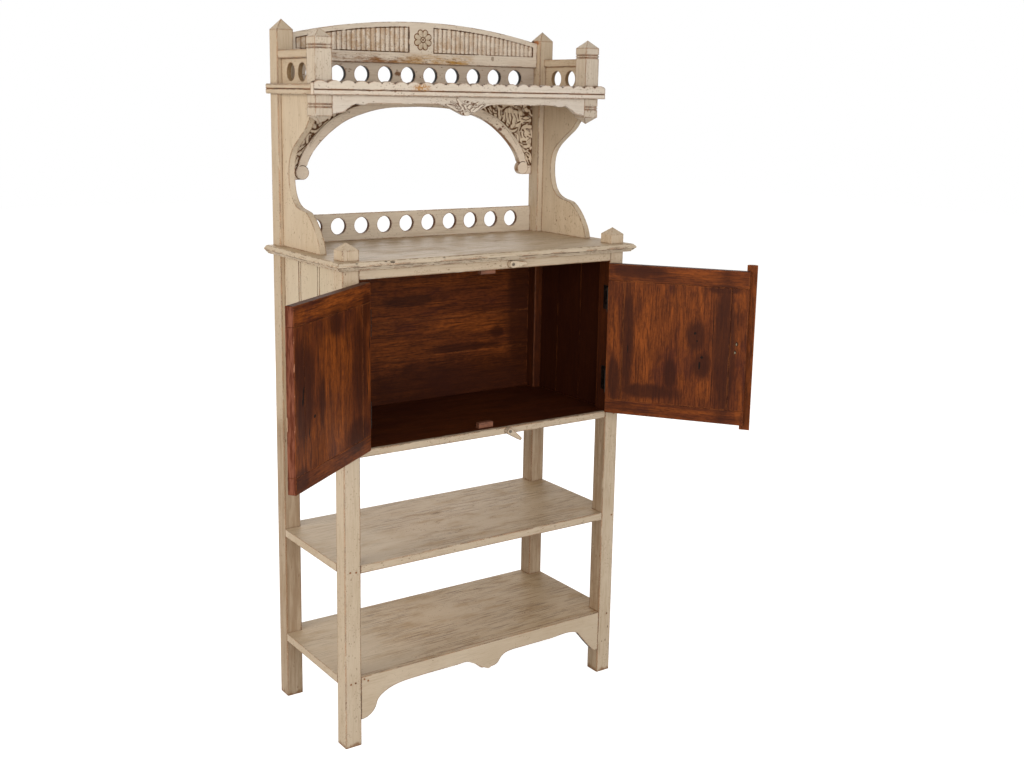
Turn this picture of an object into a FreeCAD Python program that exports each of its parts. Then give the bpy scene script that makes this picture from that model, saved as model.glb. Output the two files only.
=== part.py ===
import FreeCAD, Part
import math
import os
from FreeCAD import Vector

# Painted cupboard on four posts, with two open shelves below and a small hutch above.
# Millimetres. X runs to the right, Y to the back and Z up. The origin is on the floor,
# in the middle of the footprint of the four posts.
# Tables whose names end in share hold points as shares of the sizes that they follow.

# Frame
overall_height = 1700.0
overall_width = 802.0
overall_depth = 364.0
post_side = 42.0
post_arris = 1.6
post_point = 25.0
board_thickness = 20.0
board_arris = 1.2

# Open shelves and apron
lower_shelf_top = 173.0
middle_shelf_top = 453.0
apron_thickness = 13.0
apron_drop = 107.5

# Cupboard
worktop_top = 1167.0
worktop_overhang = 24.0
floor_top = 730.0
floor_thickness = 17.0
side_board_set_in = 11.0
side_board_thickness = 9.0
back_board_thickness = 10.0
bead_width = 10.0
groove_width = 2.4
groove_depth = 2.0
top_rail_height = 23.0
top_rail_thickness = 21.0
stop_width = 42.0
stop_depth = 14.0
upper_stop_drop = 13.0
lower_stop_height = 14.0
cap_block_height = 23.0
cap_point = 17.0

# Doors
door_thickness = 20.0
door_gap_above = 3.0
door_gap_below = 4.0
door_gap_middle = 2.4
stile_width = 42.0
upper_door_rail = 43.0
lower_door_rail = 37.0
panel_thickness = 12.0
left_door_rest_angle = -143.5
right_door_rest_angle = 126.3
astragal_width = 26.0
astragal_thickness = 11.0
astragal_lap = 11.0
astragal_overrun = 14.5

# Hinges
leaf_thickness = 1.2
leaf_gap = 0.2
leaf_depth = 21.0
leaf_height = 62.0
upper_hinge_set_in = 61.0
lower_hinge_set_in = 53.0
pin_forward = 4.5
knuckle_radius = 3.4
knuckle_sides = 12
knuckle_slit = 0.3
pin_radius = 1.7
pin_clearance = 0.05
pin_end = 0.8

# Turn buttons
button_across = 50.0
button_head_radius = 8.5
button_tip_radius = 4.0
button_length = 42.0
button_thickness = 12.0
button_clearance = 0.3
button_screw_radius = 2.0
button_screw_clearance = 0.08
button_screw_head = 3.8
button_screw_head_height = 1.6
button_slot_width = 1.0
button_slot_depth = 0.8
lower_button_angle = 36.0

# Bracket boards
bracket_set_in = 9.0
bracket_thickness = 16.0
bracket_reach = 195.5

# Upper shelf, its mouldings and the scalloped strip
upper_shelf_top = 1549.0
upper_shelf_front = -58.0
moulding_projection = 11.5
moulding_drop = 2.0
moulding_rise = 1.5
strip_thickness = 16.0
strip_groove = 2.4
scallop_foot = 4.5
scallop_rise = 6.0
scallop_count = 24

# Gallery
gallery_post_rise = 105.0
gallery_post_point = 20.0
drop_length = 48.5
drop_point = 17.5
ring_width = 2.6
ring_depth = 1.6
ring_pitch = 6.5
upper_ring_fall = 17.5
lower_ring_rise = 19.5
hole_radius = 21.0
hole_sides = 28
side_gallery_set_in = 12.0
side_gallery_thickness = 10.0
side_gallery_height = 59.5
side_hole_height = 28.2
side_hole_pitch = 60.0
side_batten_set_in = 1.5
side_batten_width = 26.0
side_batten_height = 19.0
back_gallery_set_in = 4.0
back_gallery_thickness = 12.0
back_gallery_height = 58.0
back_hole_height = 28.5
back_hole_pitch = 65.6
lower_gallery_thickness = 10.0
lower_gallery_height = 68.5
lower_hole_height = 37.3
lower_hole_pitch = 65.3
back_hole_count = 10

# Crest board
crest_set_in = 10.0
crest_thickness = 17.0
crest_end_height = 61.3
crest_middle_height = 101.6
flute_base_height = 27.5
flute_border = 12.5
flute_pitch = 13.6
flute_depth = 3.0
flute_middle_gap = 36.0
flute_end_gap = 14.0

# Arch board and valance
arch_thickness = 16.0
arch_depth = 206.5
arch_band_width = 22.5
arch_band_proud = 5.0
scroll_radius = 17.3
scroll_proud = 4.2
valance_thickness = 12.0
valance_depth = 20.0
valance_end_depth = 45.5
leaf_half_width = 72.0
leaf_length = 26.6

# Worktop edge from the top surface down: overhang, then depth below the surface
worktop_edge_share = [
    (0.62, 0.0), (0.73, 0.04), (0.86, 0.19), (0.97, 0.32), (1.0, 0.42), (0.97, 0.52),
    (0.85, 0.6), (0.82, 0.67), (0.73, 0.8), (0.61, 0.88), (0.57, 1.0),
]

# Lower edge of the apron from left to right: across half the opening, then depth
apron_left_share = [(-1.0, 1.0), (-0.97, 0.99), (-0.94, 0.95), (-0.905, 0.85), (-0.885, 0.71)]
apron_left_hollow_share = [
    (-0.885, 0.71), (-0.877, 0.64), (-0.86, 0.57), (-0.825, 0.49), (-0.75, 0.4), (-0.65, 0.357),
    (-0.5, 0.344),
]
apron_drop_left_share = [
    (-0.25, 0.344), (-0.2, 0.333), (-0.165, 0.342), (-0.13, 0.395), (-0.1, 0.45),
    (-0.065, 0.55), (-0.042, 0.595),
]
apron_drop_tip_share = [(-0.042, 0.595), (-0.02, 0.605), (0.0, 0.64), (0.02, 0.65), (0.034, 0.62)]
apron_drop_right_share = [
    (0.034, 0.62), (0.06, 0.615), (0.085, 0.585), (0.105, 0.51), (0.13, 0.42), (0.17, 0.365),
    (0.26, 0.344),
]
apron_right_hollow_share = [(0.57, 0.344), (0.64, 0.325), (0.7, 0.317), (0.76, 0.338), (0.805, 0.4)]
apron_right_share = [(0.805, 0.4), (0.87, 0.66), (0.93, 0.885), (0.965, 0.985), (1.0, 0.99)]

# Front edge of a bracket from the corner drop down: forward from the rear post, then height
bracket_flare_share = [(0.798, 0.876), (0.757, 0.848), (0.685, 0.8), (0.61, 0.765), (0.542, 0.742)]
bracket_hollow_share = [
    (0.542, 0.742), (0.353, 0.673), (0.25, 0.62), (0.19, 0.55), (0.177, 0.478), (0.2, 0.39),
    (0.265, 0.322), (0.37, 0.281), (0.51, 0.262), (0.635, 0.25),
]
bracket_foot_share = [
    (0.635, 0.25), (0.73, 0.218), (0.83, 0.169), (0.915, 0.11), (0.975, 0.05), (1.0, 0.0),
]

# Lower edge of the arch from the middle out: across half the opening, then depth
arch_edge_share = [
    (0.0, 0.141), (0.175, 0.15), (0.343, 0.182), (0.462, 0.237), (0.573, 0.308), (0.686, 0.431),
    (0.797, 0.605), (0.852, 0.734), (0.876, 0.828),
]

# Lower edge of the valance: across half the opening, then depth of the end
valance_bump_share = [(0.735, 0.44), (0.757, 0.49), (0.782, 0.515), (0.807, 0.49), (0.828, 0.44)]
valance_sweep_share = [
    (0.828, 0.44), (0.857, 0.54), (0.888, 0.68), (0.915, 0.85), (0.94, 0.91), (1.0, 1.0),
]
# Edge of the carved leaf from its tip out: half width, then length
leaf_edge_share = [
    (0.0, 1.0), (0.104, 0.959), (0.25, 0.79), (0.506, 0.492), (0.7, 0.25), (0.86, 0.09), (1.0, 0.0),
]

# Joint lines between the side boards, along half the side, and between the back boards
side_joint_share = [-0.257, 0.45]
back_joint_share = [0.309, 0.541]

# Places that follow from the sizes above
half_width = overall_width / 2
half_depth = overall_depth / 2
inner_x = half_width - post_side
inner_y = half_depth - post_side
front_post_top = worktop_top - board_thickness
top_rail_bottom = front_post_top - top_rail_height
floor_bottom = floor_top - floor_thickness
side_inner_x = half_width - side_board_set_in - side_board_thickness
door_bottom = floor_top + door_gap_below
door_top = top_rail_bottom - door_gap_above
leaf_room = 2 * leaf_thickness + leaf_gap
pin_x = inner_x - leaf_room / 2
pin_y = -half_depth - pin_forward
hinge_edge_x = inner_x - leaf_room
door_width = hinge_edge_x - door_gap_middle / 2
shelf_bottom = upper_shelf_top - board_thickness
gallery_post_back = upper_shelf_front + post_side
gallery_shoulder = upper_shelf_top + gallery_post_rise
drop_shoulder = shelf_bottom - drop_length
back_gallery_top = upper_shelf_top + back_gallery_height
batten_bottom = upper_shelf_top + side_gallery_height

up = Vector(0, 0, 1)
across = Vector(1, 0, 0)
back = Vector(0, 1, 0)
os.makedirs("parts", exist_ok=True)


def block(x0, x1, y0, y1, z0, z1):
    return Part.makeBox(x1 - x0, y1 - y0, z1 - z0, Vector(x0, y0, z0))


def eased(shape, size, axis=None):
    # Take a small flat off the straight edges, or only off those along one axis.
    edges = []
    for e in shape.Edges:
        run = e.Vertexes[-1].Point - e.Vertexes[0].Point
        if isinstance(e.Curve, Part.Line) and (
                axis is None or run.cross(axis).Length < run.Length / 1000):
            edges.append(e)
    return shape.makeChamfer(size, edges)


def placed(table, a0, a_size, b0, b_size):
    # Turn a table of shares into points.
    return [(a0 + a * a_size, b0 + b * b_size) for a, b in table]


def flipped(points):
    return [(-a, b) for a, b in reversed(points)]


def profile(runs, to_vector):
    # A closed face from runs of points. Two points make a line. More make a smooth curve,
    # laid as one arc from point to point. A line closes any space between two runs.
    edges = []
    for i, run in enumerate(runs):
        points = [to_vector(a, b) for a, b in run]
        if len(points) == 2:
            edges.append(Part.makeLine(points[0], points[1]))
        elif len(points) > 2:
            curve = Part.BSplineCurve()
            curve.interpolate(points)
            for a, b in zip(points, points[1:]):
                middle = curve.value((curve.parameter(a) + curve.parameter(b)) / 2)
                edges.append(Part.Arc(a, middle, b).toShape())
        following = to_vector(*runs[(i + 1) % len(runs)][0])
        if not points[-1].isEqual(following, board_arris / 1000):
            edges.append(Part.makeLine(points[-1], following))
    return Part.Face(Part.Wire(edges))


def front_slab(runs, y0, y1):
    return profile(runs, lambda x, z: Vector(x, y0, z)).extrude(back * (y1 - y0))


def side_slab(runs, x0, x1):
    return profile(runs, lambda y, z: Vector(x0, y, z)).extrude(across * (x1 - x0))


def mirrored(shape):
    return shape.mirror(Vector(0, 0, 0), across)


def rod(radius, x, y0, y1, z):
    return Part.makeCylinder(radius, y1 - y0, Vector(x, y0, z), back)


def many_sided(radius, sides, centre, axis):
    # A light stand-in for a cylinder where many are needed. The axis holds its length.
    first = axis.cross(Vector(axis.z, axis.x, axis.y)).normalize() * radius
    second = axis.cross(first).normalize() * radius
    rim = [centre + first * math.cos(2 * math.pi * i / sides)
           + second * math.sin(2 * math.pi * i / sides) for i in range(sides)]
    return Part.Face(Part.makePolygon(rim + rim[:1])).extrude(axis)


def pointed(x0, x1, y0, y1, z_end, z_tip):
    # A four-sided point on a square base.
    tip = Vector((x0 + x1) / 2, (y0 + y1) / 2, z_tip)
    base = [Vector(x0, y0, z_end), Vector(x1, y0, z_end), Vector(x1, y1, z_end),
            Vector(x0, y1, z_end)]
    faces = [Part.Face(Part.makePolygon(base + base[:1]))]
    for i in range(len(base)):
        faces.append(Part.Face(Part.makePolygon([base[i], base[i - 1], tip, base[i]])))
    solid = Part.makeSolid(Part.makeShell(faces))
    return solid if solid.Volume > 0 else solid.reversed()


def save(shape, node):
    shape.exportStep("parts/" + node + ".step")


def save_pair(shape, node):
    save(shape, node + "_left")
    save(mirrored(shape), node + "_right")


# Posts and the pointed blocks that stand on the worktop above the front posts
left = (-half_width, -inner_x)
save_pair(eased(block(*left, -half_depth, -inner_y, 0, front_post_top), post_arris, up),
          "post_front")
shoulder = overall_height - post_point
rear_post = block(*left, inner_y, half_depth, 0, shoulder).fuse(
    pointed(*left, inner_y, half_depth, shoulder, overall_height)).removeSplitter()
save_pair(eased(rear_post, post_arris, up), "post_rear")
shoulder = worktop_top + cap_block_height
cap = block(*left, -half_depth, -inner_y, worktop_top, shoulder).fuse(
    pointed(*left, -half_depth, -inner_y, shoulder, shoulder + cap_point)).removeSplitter()
save_pair(eased(cap, post_arris, up), "post_cap")


def round_posts(board, y_front, z0, z1, front_notch):
    # Cut a board out round the rear posts and, where it reaches them, the front ones.
    for x0, x1 in (left, (inner_x, half_width)):
        board = board.cut(block(x0, x1, inner_y, half_depth, z0, z1))
        if front_notch > y_front:
            board = board.cut(block(x0, x1, y_front, front_notch, z0, z1))
    return board


# Open shelves and apron
z0, z1 = middle_shelf_top - board_thickness, middle_shelf_top
shelf = block(-half_width, half_width, -half_depth, half_depth, z0, z1)
save(eased(round_posts(shelf, -half_depth, z0, z1, -inner_y), board_arris, across),
     "shelf_middle")
z0, z1 = lower_shelf_top - board_thickness, lower_shelf_top
apron_back = -half_depth + apron_thickness
shelf = block(-half_width, half_width, apron_back, half_depth, z0, z1)
save(round_posts(shelf, apron_back, z0, z1, -inner_y), "shelf_lower")
apron = [placed(table, 0, inner_x, lower_shelf_top, -apron_drop)
         for table in (apron_left_share, apron_left_hollow_share, apron_drop_left_share,
                       apron_drop_tip_share, apron_drop_right_share,
                       apron_right_hollow_share, apron_right_share)]
apron.append([(inner_x, lower_shelf_top), (-inner_x, lower_shelf_top)])
save(front_slab(apron, -half_depth, apron_back), "apron_front")

# Cupboard floor, sides of beaded boards, and back
floor = block(-side_inner_x, side_inner_x, -half_depth, half_depth - back_board_thickness,
              floor_bottom, floor_top)
save(eased(round_posts(floor, -half_depth, floor_bottom, floor_top, -inner_y), board_arris,
           across), "cupboard_floor")
side_x = -half_width + side_board_set_in
joints = [-inner_y] + [share * inner_y for share in side_joint_share] + [inner_y]
side_boards = []
for y0, y1 in zip(joints[:-1], joints[1:]):
    board = block(side_x, -side_inner_x, y0, y1, floor_bottom, front_post_top)
    grooves = [y0] * (y0 > -inner_y) + [y1 - bead_width, y1] * (y1 < inner_y)
    for y in grooves:
        board = board.cut(block(side_x, side_x + groove_depth, y - groove_width / 2,
                                y + groove_width / 2, floor_bottom, front_post_top))
    side_boards.append(board)
save_pair(Part.makeCompound(side_boards), "side_boards")
height = front_post_top - floor_bottom
joints = [floor_bottom] + [floor_bottom + share * height for share in back_joint_share]
joints.append(front_post_top)
save(Part.makeCompound([
    block(-inner_x, inner_x, half_depth - back_board_thickness, half_depth, z0, z1)
    for z0, z1 in zip(joints[:-1], joints[1:])]), "back_boards")

# Rail over the doors and the two door stops
stop_y = -half_depth + top_rail_thickness
save(eased(block(-inner_x, inner_x, -half_depth, stop_y, top_rail_bottom, front_post_top),
           board_arris, across), "top_rail")
for node, z0, z1 in (
        ("door_stop_upper", top_rail_bottom - upper_stop_drop, front_post_top),
        ("door_stop_lower", floor_top, floor_top + lower_stop_height)):
    stop = block(-stop_width / 2, stop_width / 2, stop_y, stop_y + stop_depth, z0, z1)
    save(eased(stop, board_arris, across), node)

# Worktop: a loft down its moulded edge, cut out round the rear posts
layers = []
for out, z in placed(worktop_edge_share, 0, worktop_overhang, worktop_top, -board_thickness):
    x, y = half_width + out, -half_depth - out
    corners = [Vector(-x, y, z), Vector(x, y, z), Vector(x, half_depth, z),
               Vector(-x, half_depth, z)]
    layers.append(Part.makePolygon(corners + corners[:1]))
worktop = Part.makeLoft(layers, True, True)
save(round_posts(worktop, -half_depth, front_post_top, worktop_top, -half_depth), "worktop")


# Doors, drawn shut and then swung to the open pose of the photograph
def door_pieces(side):
    # The side is -1 for the left door and 1 for the right one.
    hinge, free = side * hinge_edge_x, side * (hinge_edge_x - door_width)
    x0, x1 = min(hinge, free), max(hinge, free)
    y0, y1 = -half_depth, -half_depth + door_thickness
    z0, z1 = door_bottom + lower_door_rail, door_top - upper_door_rail
    pieces = {
        "rail_upper": eased(block(x0, x1, y0, y1, z1, door_top), board_arris),
        "rail_lower": eased(block(x0, x1, y0, y1, door_bottom, z0), board_arris),
        "panel": block(x0 + stile_width, x1 - stile_width, y1 - panel_thickness, y1, z0, z1),
    }
    for name, a in (("stile_hinge", hinge), ("stile_free", free + side * stile_width)):
        b = a - side * stile_width
        pieces[name] = eased(block(min(a, b), max(a, b), y0, y1, z0, z1), board_arris, up)
    if side > 0:
        a = free + astragal_lap - astragal_width
        z0, z1 = door_bottom - astragal_overrun, door_top + astragal_overrun
        ends = [Vector(a, y0, z0), Vector(a + astragal_width, y0, z0)]
        crown = Vector(a + astragal_width / 2, y0 - astragal_thickness, z0)
        section = Part.Wire([Part.makeLine(ends[1], ends[0]),
                             Part.Arc(ends[0], crown, ends[1]).toShape()])
        pieces["astragal"] = Part.Face(section).extrude(up * (z1 - z0))
    return pieces


def swung(shape, side):
    turned = shape.copy()
    angle = left_door_rest_angle if side < 0 else right_door_rest_angle
    turned.rotate(Vector(side * pin_x, pin_y, 0), up, angle)
    return turned


# Butt hinges, two to a door, each with three knuckles on a loose pin
def hinge_leaf(side, z0, on_door):
    face = side * (hinge_edge_x if on_door else inner_x)
    other = face + side * leaf_thickness * (1 if on_door else -1)
    x0, x1 = min(face, other), max(face, other)
    leaf = block(x0, x1, -half_depth, -half_depth + leaf_depth, z0, z0 + leaf_height)
    step = leaf_height / 3
    for k in ((1,) if on_door else (0, 2)):
        za, zb = z0 + k * step + knuckle_slit / 2, z0 + (k + 1) * step - knuckle_slit / 2
        centre = Vector(side * pin_x, pin_y, za)
        knuckle = many_sided(knuckle_radius, knuckle_sides, centre, up * (zb - za))
        knuckle = knuckle.fuse(block(x0, x1, pin_y, -half_depth, za, zb))
        bore = Part.makeCylinder(pin_radius + pin_clearance, zb - za, centre, up)
        leaf = leaf.fuse(knuckle.cut(bore))
    return leaf.removeSplitter()


for side, name in ((-1, "left"), (1, "right")):
    for piece, shape in door_pieces(side).items():
        save(swung(shape, side), name + "_door_" + piece)
    bottoms = (door_top - upper_hinge_set_in - leaf_height, door_bottom + lower_hinge_set_in)
    save(Part.makeCompound([hinge_leaf(side, z, False) for z in bottoms]),
         "hinge_leaves_post_" + name)
    save(Part.makeCompound([swung(hinge_leaf(side, z, True), side) for z in bottoms]),
         "hinge_leaves_door_" + name)
    save(Part.makeCompound([
        Part.makeCylinder(pin_radius, leaf_height + 2 * pin_end,
                          Vector(side * pin_x, pin_y, z - pin_end), up) for z in bottoms]),
         "hinge_pins_" + name)


# Turn buttons on the rail above the doors and on the front edge of the cupboard floor
def turn_button(z, tilt):
    x = button_across
    y1 = -half_depth - button_clearance
    y0 = y1 - button_thickness
    reach = button_length - button_tip_radius
    body = rod(button_head_radius, x, y0, y1, z)
    body = body.fuse(rod(button_tip_radius, x + reach, y0, y1, z))
    lean = math.asin((button_head_radius - button_tip_radius) / reach)
    tail = []
    for sign in (-1, 1):
        for cx, r in ((x, button_head_radius), (x + reach, button_tip_radius))[::-sign]:
            tail.append((cx + r * math.sin(lean), z + sign * r * math.cos(lean)))
    body = body.fuse(front_slab([[p] for p in tail], y0, y1))
    hole = rod(button_screw_radius + button_screw_clearance, x, y0, y1, z)
    body = body.removeSplitter().cut(hole)
    body.rotate(Vector(x, 0, z), back, tilt)
    head_y = y0 - button_screw_head_height
    screw = rod(button_screw_radius, x, y0, -half_depth, z).fuse(
        rod(button_screw_head, x, head_y, y0, z)).removeSplitter()
    slot = block(x - button_screw_head, x + button_screw_head, head_y,
                 head_y + button_slot_depth, z - button_slot_width / 2,
                 z + button_slot_width / 2)
    return body, screw.cut(slot)


upper_button, upper_screw = turn_button((top_rail_bottom + front_post_top) / 2, 0)
lower_button, lower_screw = turn_button((floor_bottom + floor_top) / 2, lower_button_angle)
save(upper_button, "turn_button_upper")
save(lower_button, "turn_button_lower")
save(Part.makeCompound([upper_screw, lower_screw]), "turn_button_screws")

# Bracket boards, shaped along their front edge
bay = shelf_bottom - worktop_top
bracket = [[(inner_y, worktop_top), (inner_y, shelf_bottom)], [(gallery_post_back, shelf_bottom)]]
bracket += [placed(table, inner_y, -bracket_reach, worktop_top, bay)
            for table in (bracket_flare_share, bracket_hollow_share, bracket_foot_share)]
bracket[2][0] = (gallery_post_back, bracket[2][0][1])
bracket_x = -half_width + bracket_set_in
save_pair(side_slab(bracket, bracket_x, bracket_x + bracket_thickness), "bracket")

# Upper shelf with its side mouldings and the scalloped strip along its front
shelf = block(-half_width, half_width, upper_shelf_front, half_depth, shelf_bottom,
              upper_shelf_top)
save(round_posts(shelf, upper_shelf_front, shelf_bottom, upper_shelf_top, gallery_post_back),
     "upper_shelf")
moulding_bottom = shelf_bottom - moulding_drop
moulding_top = upper_shelf_top + moulding_rise
moulding_middle = (moulding_bottom + moulding_top) / 2
outer = -half_width - moulding_projection
bevel = strip_groove / 2
side_moulding = block(outer, -half_width, upper_shelf_front, half_depth, moulding_bottom,
                      moulding_top)
side_moulding = side_moulding.makeChamfer(
    strip_groove, [e for e in side_moulding.Edges
                   if e.Vertexes[0].X < -half_width and e.Vertexes[1].X < -half_width
                   and abs(e.Vertexes[0].Y - e.Vertexes[1].Y) > strip_groove])
groove = front_slab([[(outer, moulding_middle - bevel)], [(outer + strip_groove, moulding_middle)],
                     [(outer, moulding_middle + bevel)]], upper_shelf_front, half_depth)
save_pair(side_moulding.cut(groove), "shelf_moulding")

pitch = -2 * outer / scallop_count
scallop_z = upper_shelf_top + scallop_foot
edges = []
for i in range(scallop_count):
    x = outer + i * pitch
    edges.append(Part.Arc(Vector(x, upper_shelf_front, scallop_z),
                          Vector(x + pitch / 2, upper_shelf_front, scallop_z + scallop_rise),
                          Vector(x + pitch, upper_shelf_front, scallop_z)).toShape())
lower = [Vector(-outer, upper_shelf_front, scallop_z),
         Vector(-outer, upper_shelf_front, moulding_bottom),
         Vector(outer, upper_shelf_front, moulding_bottom),
         Vector(outer, upper_shelf_front, scallop_z)]
strip = Part.Face(Part.Wire(edges + [Part.makeLine(a, b) for a, b in zip(lower, lower[1:])]))
strip = strip.extrude(back * -strip_thickness)
strip_y = upper_shelf_front - strip_thickness
for z in (moulding_bottom, moulding_middle):
    strip = strip.cut(side_slab([[(strip_y, z - bevel)], [(strip_y + strip_groove, z)],
                                 [(strip_y, z + bevel)]], outer, -outer))
save(strip, "scallop_strip")

# Corner posts of the gallery, carried down through the shelf as pointed drops
span = (*left, upper_shelf_front, gallery_post_back)
corner = block(*span, drop_shoulder, gallery_shoulder)
corner = corner.fuse(pointed(*span, gallery_shoulder, gallery_shoulder + gallery_post_point))
corner = corner.fuse(pointed(*span, drop_shoulder, drop_shoulder - drop_point))
corner = corner.removeSplitter()
for z, pitch in ((gallery_shoulder - upper_ring_fall, -ring_pitch),
                 (drop_shoulder + lower_ring_rise, ring_pitch)):
    for middle in (z, z + pitch):
        z0, z1 = middle - ring_width / 2, middle + ring_width / 2
        core = block(span[0] + ring_depth, span[1] - ring_depth, span[2] + ring_depth,
                     span[3] - ring_depth, z0, z1)
        corner = corner.cut(block(*span, z0, z1).cut(core))
save_pair(corner, "gallery_post")

# Side galleries: a rail with two round holes under a plain batten
rail_x = -half_width + side_gallery_set_in
rail = block(rail_x, rail_x + side_gallery_thickness, gallery_post_back, inner_y,
             upper_shelf_top, batten_bottom)
middle_y = (gallery_post_back + inner_y) / 2
for y in (middle_y - side_hole_pitch / 2, middle_y + side_hole_pitch / 2):
    rail = rail.cut(many_sided(
        hole_radius, hole_sides, Vector(rail_x, y, upper_shelf_top + side_hole_height),
        across * side_gallery_thickness))
save(Part.makeCompound([rail, mirrored(rail)]), "gallery_rails_side")
batten_x = -half_width + side_batten_set_in
save_pair(eased(block(batten_x, batten_x + side_batten_width, gallery_post_back, inner_y,
                      batten_bottom, batten_bottom + side_batten_height), board_arris, back),
          "gallery_batten")


# Back galleries: long rails between the rear posts with a row of round holes
def pierced(y0, y1, z0, z1, z_hole, spacing):
    board = block(-inner_x, inner_x, y0, y1, z0, z1)
    for i in range(back_hole_count):
        x = (i - (back_hole_count - 1) / 2) * spacing
        board = board.cut(many_sided(hole_radius, hole_sides, Vector(x, y0, z_hole),
                                     back * (y1 - y0)))
    return board


back_y = half_depth - back_gallery_set_in
save(pierced(back_y - back_gallery_thickness, back_y, upper_shelf_top, back_gallery_top,
             upper_shelf_top + back_hole_height, back_hole_pitch), "gallery_rail_back")
save(pierced(half_depth - lower_gallery_thickness, half_depth, worktop_top,
             worktop_top + lower_gallery_height, worktop_top + lower_hole_height,
             lower_hole_pitch), "gallery_rail_lower")

# Crest board: an arched top and two recessed panels of reeds
crest_peak = back_gallery_top + crest_middle_height
rise = crest_middle_height - crest_end_height
crest_radius = (inner_x ** 2 + rise ** 2) / (2 * rise)
crest_y1 = half_depth - crest_set_in
crest_y0 = crest_y1 - crest_thickness


def under_arc(x0, x1, z0, border, y0, y1):
    # A slab between two upright ends, topped by the crest's arc less a border.
    def height(x):
        return crest_peak - crest_radius + math.sqrt((crest_radius - border) ** 2 - x ** 2)
    arc = Part.Arc(Vector(x1, y0, height(x1)), Vector((x0 + x1) / 2, y0, height((x0 + x1) / 2)),
                   Vector(x0, y0, height(x0)))
    points = [Vector(x0, y0, height(x0)), Vector(x0, y0, z0), Vector(x1, y0, z0),
              Vector(x1, y0, height(x1))]
    lines = [Part.makeLine(a, b) for a, b in zip(points, points[1:])]
    return Part.Face(Part.Wire(lines + [arc.toShape()])).extrude(back * (y1 - y0))


crest = under_arc(-inner_x, inner_x, back_gallery_top, 0, crest_y0, crest_y1)
flute_bottom = back_gallery_top + flute_base_height
panel_end = inner_x - flute_end_gap
floor_y = crest_y0 + flute_depth
for x0, x1 in ((-panel_end, -flute_middle_gap), (flute_middle_gap, panel_end)):
    recess = under_arc(x0, x1, flute_bottom, flute_border, crest_y0, floor_y)
    count = round((x1 - x0) / flute_pitch)
    width = (x1 - x0) / count
    reeds = []
    for i in range(count):
        a, b = x0 + i * width, x0 + (i + 1) * width
        section = [Vector(a, floor_y, flute_bottom),
                   Vector(a + width / 5, floor_y - flute_depth * 2 / 3, flute_bottom),
                   Vector((a + b) / 2, crest_y0, flute_bottom),
                   Vector(b - width / 5, floor_y - flute_depth * 2 / 3, flute_bottom),
                   Vector(b, floor_y, flute_bottom)]
        face = Part.Face(Part.makePolygon(section + section[:1]))
        reeds.append(face.extrude(up * (crest_peak - flute_bottom)))
    reeds = Part.makeCompound(reeds).common(recess)
    crest = crest.cut(recess.cut(reeds))
save(crest, "crest_board")

# Arch board with a raised band that ends in round scrolls
arch_y0, arch_y1 = half_depth - arch_thickness, half_depth
plate_y = arch_y0 + arch_band_proud
inner_edge = placed(arch_edge_share, 0, inner_x, shelf_bottom, -arch_depth)
scroll_x = inner_edge[-1][0] + scroll_radius - scroll_proud
scroll_z = shelf_bottom - arch_depth + scroll_radius
outer_edge = []
for i, (x, z) in enumerate(inner_edge):
    xa, za = inner_edge[i - 1] if i else (-inner_edge[1][0], inner_edge[1][1])
    xb, zb = inner_edge[min(i + 1, len(inner_edge) - 1)]
    length = math.hypot(xb - xa, zb - za)
    outer_edge.append((x + (za - zb) / length * arch_band_width,
                       min(z + (xb - xa) / length * arch_band_width, shelf_bottom)))
flat_count = sum(1 for x, z in outer_edge if z >= shelf_bottom)
outer_curve = outer_edge[flat_count:]
arch = None
for side in (-1, 1):
    def sided(points):
        return [(side * x, z) for x, z in points]
    plate = [sided(inner_edge), sided([(scroll_x, scroll_z)]),
             sided([(scroll_x, scroll_z - scroll_radius)]),
             sided([(inner_x, scroll_z - scroll_radius), (inner_x, shelf_bottom)]),
             [(0, shelf_bottom)]]
    band = [sided(inner_edge), sided([(scroll_x, scroll_z)]),
            sided([(scroll_x + scroll_radius, scroll_z)]), sided(outer_curve[::-1])]
    if flat_count:
        band += [[(outer_curve[0][0] * side, shelf_bottom)], [(0, shelf_bottom)]]
    for solid in (front_slab(plate, plate_y, arch_y1), front_slab(band, arch_y0, plate_y),
                  rod(scroll_radius, side * scroll_x, arch_y0, arch_y1, scroll_z)):
        arch = solid if arch is None else arch.fuse(solid)
save(arch.removeSplitter(), "arch_board")

# Valance under the front of the shelf, with a leaf in the middle
straight = shelf_bottom - valance_depth
half_edge = [placed(leaf_edge_share, 0, leaf_half_width, straight, -leaf_length)]
half_edge += [placed(table, 0, inner_x, shelf_bottom, -valance_end_depth)
              for table in (valance_bump_share, valance_sweep_share)]
runs = [flipped(run) for run in reversed(half_edge)] + half_edge
runs.append([(inner_x, shelf_bottom), (-inner_x, shelf_bottom)])
save(front_slab(runs, upper_shelf_front, upper_shelf_front + valance_thickness), "valance")
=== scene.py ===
import math

import bmesh
import bpy
import numpy
from mathutils import Matrix, Vector
from mathutils.bvhtree import BVHTree


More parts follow.
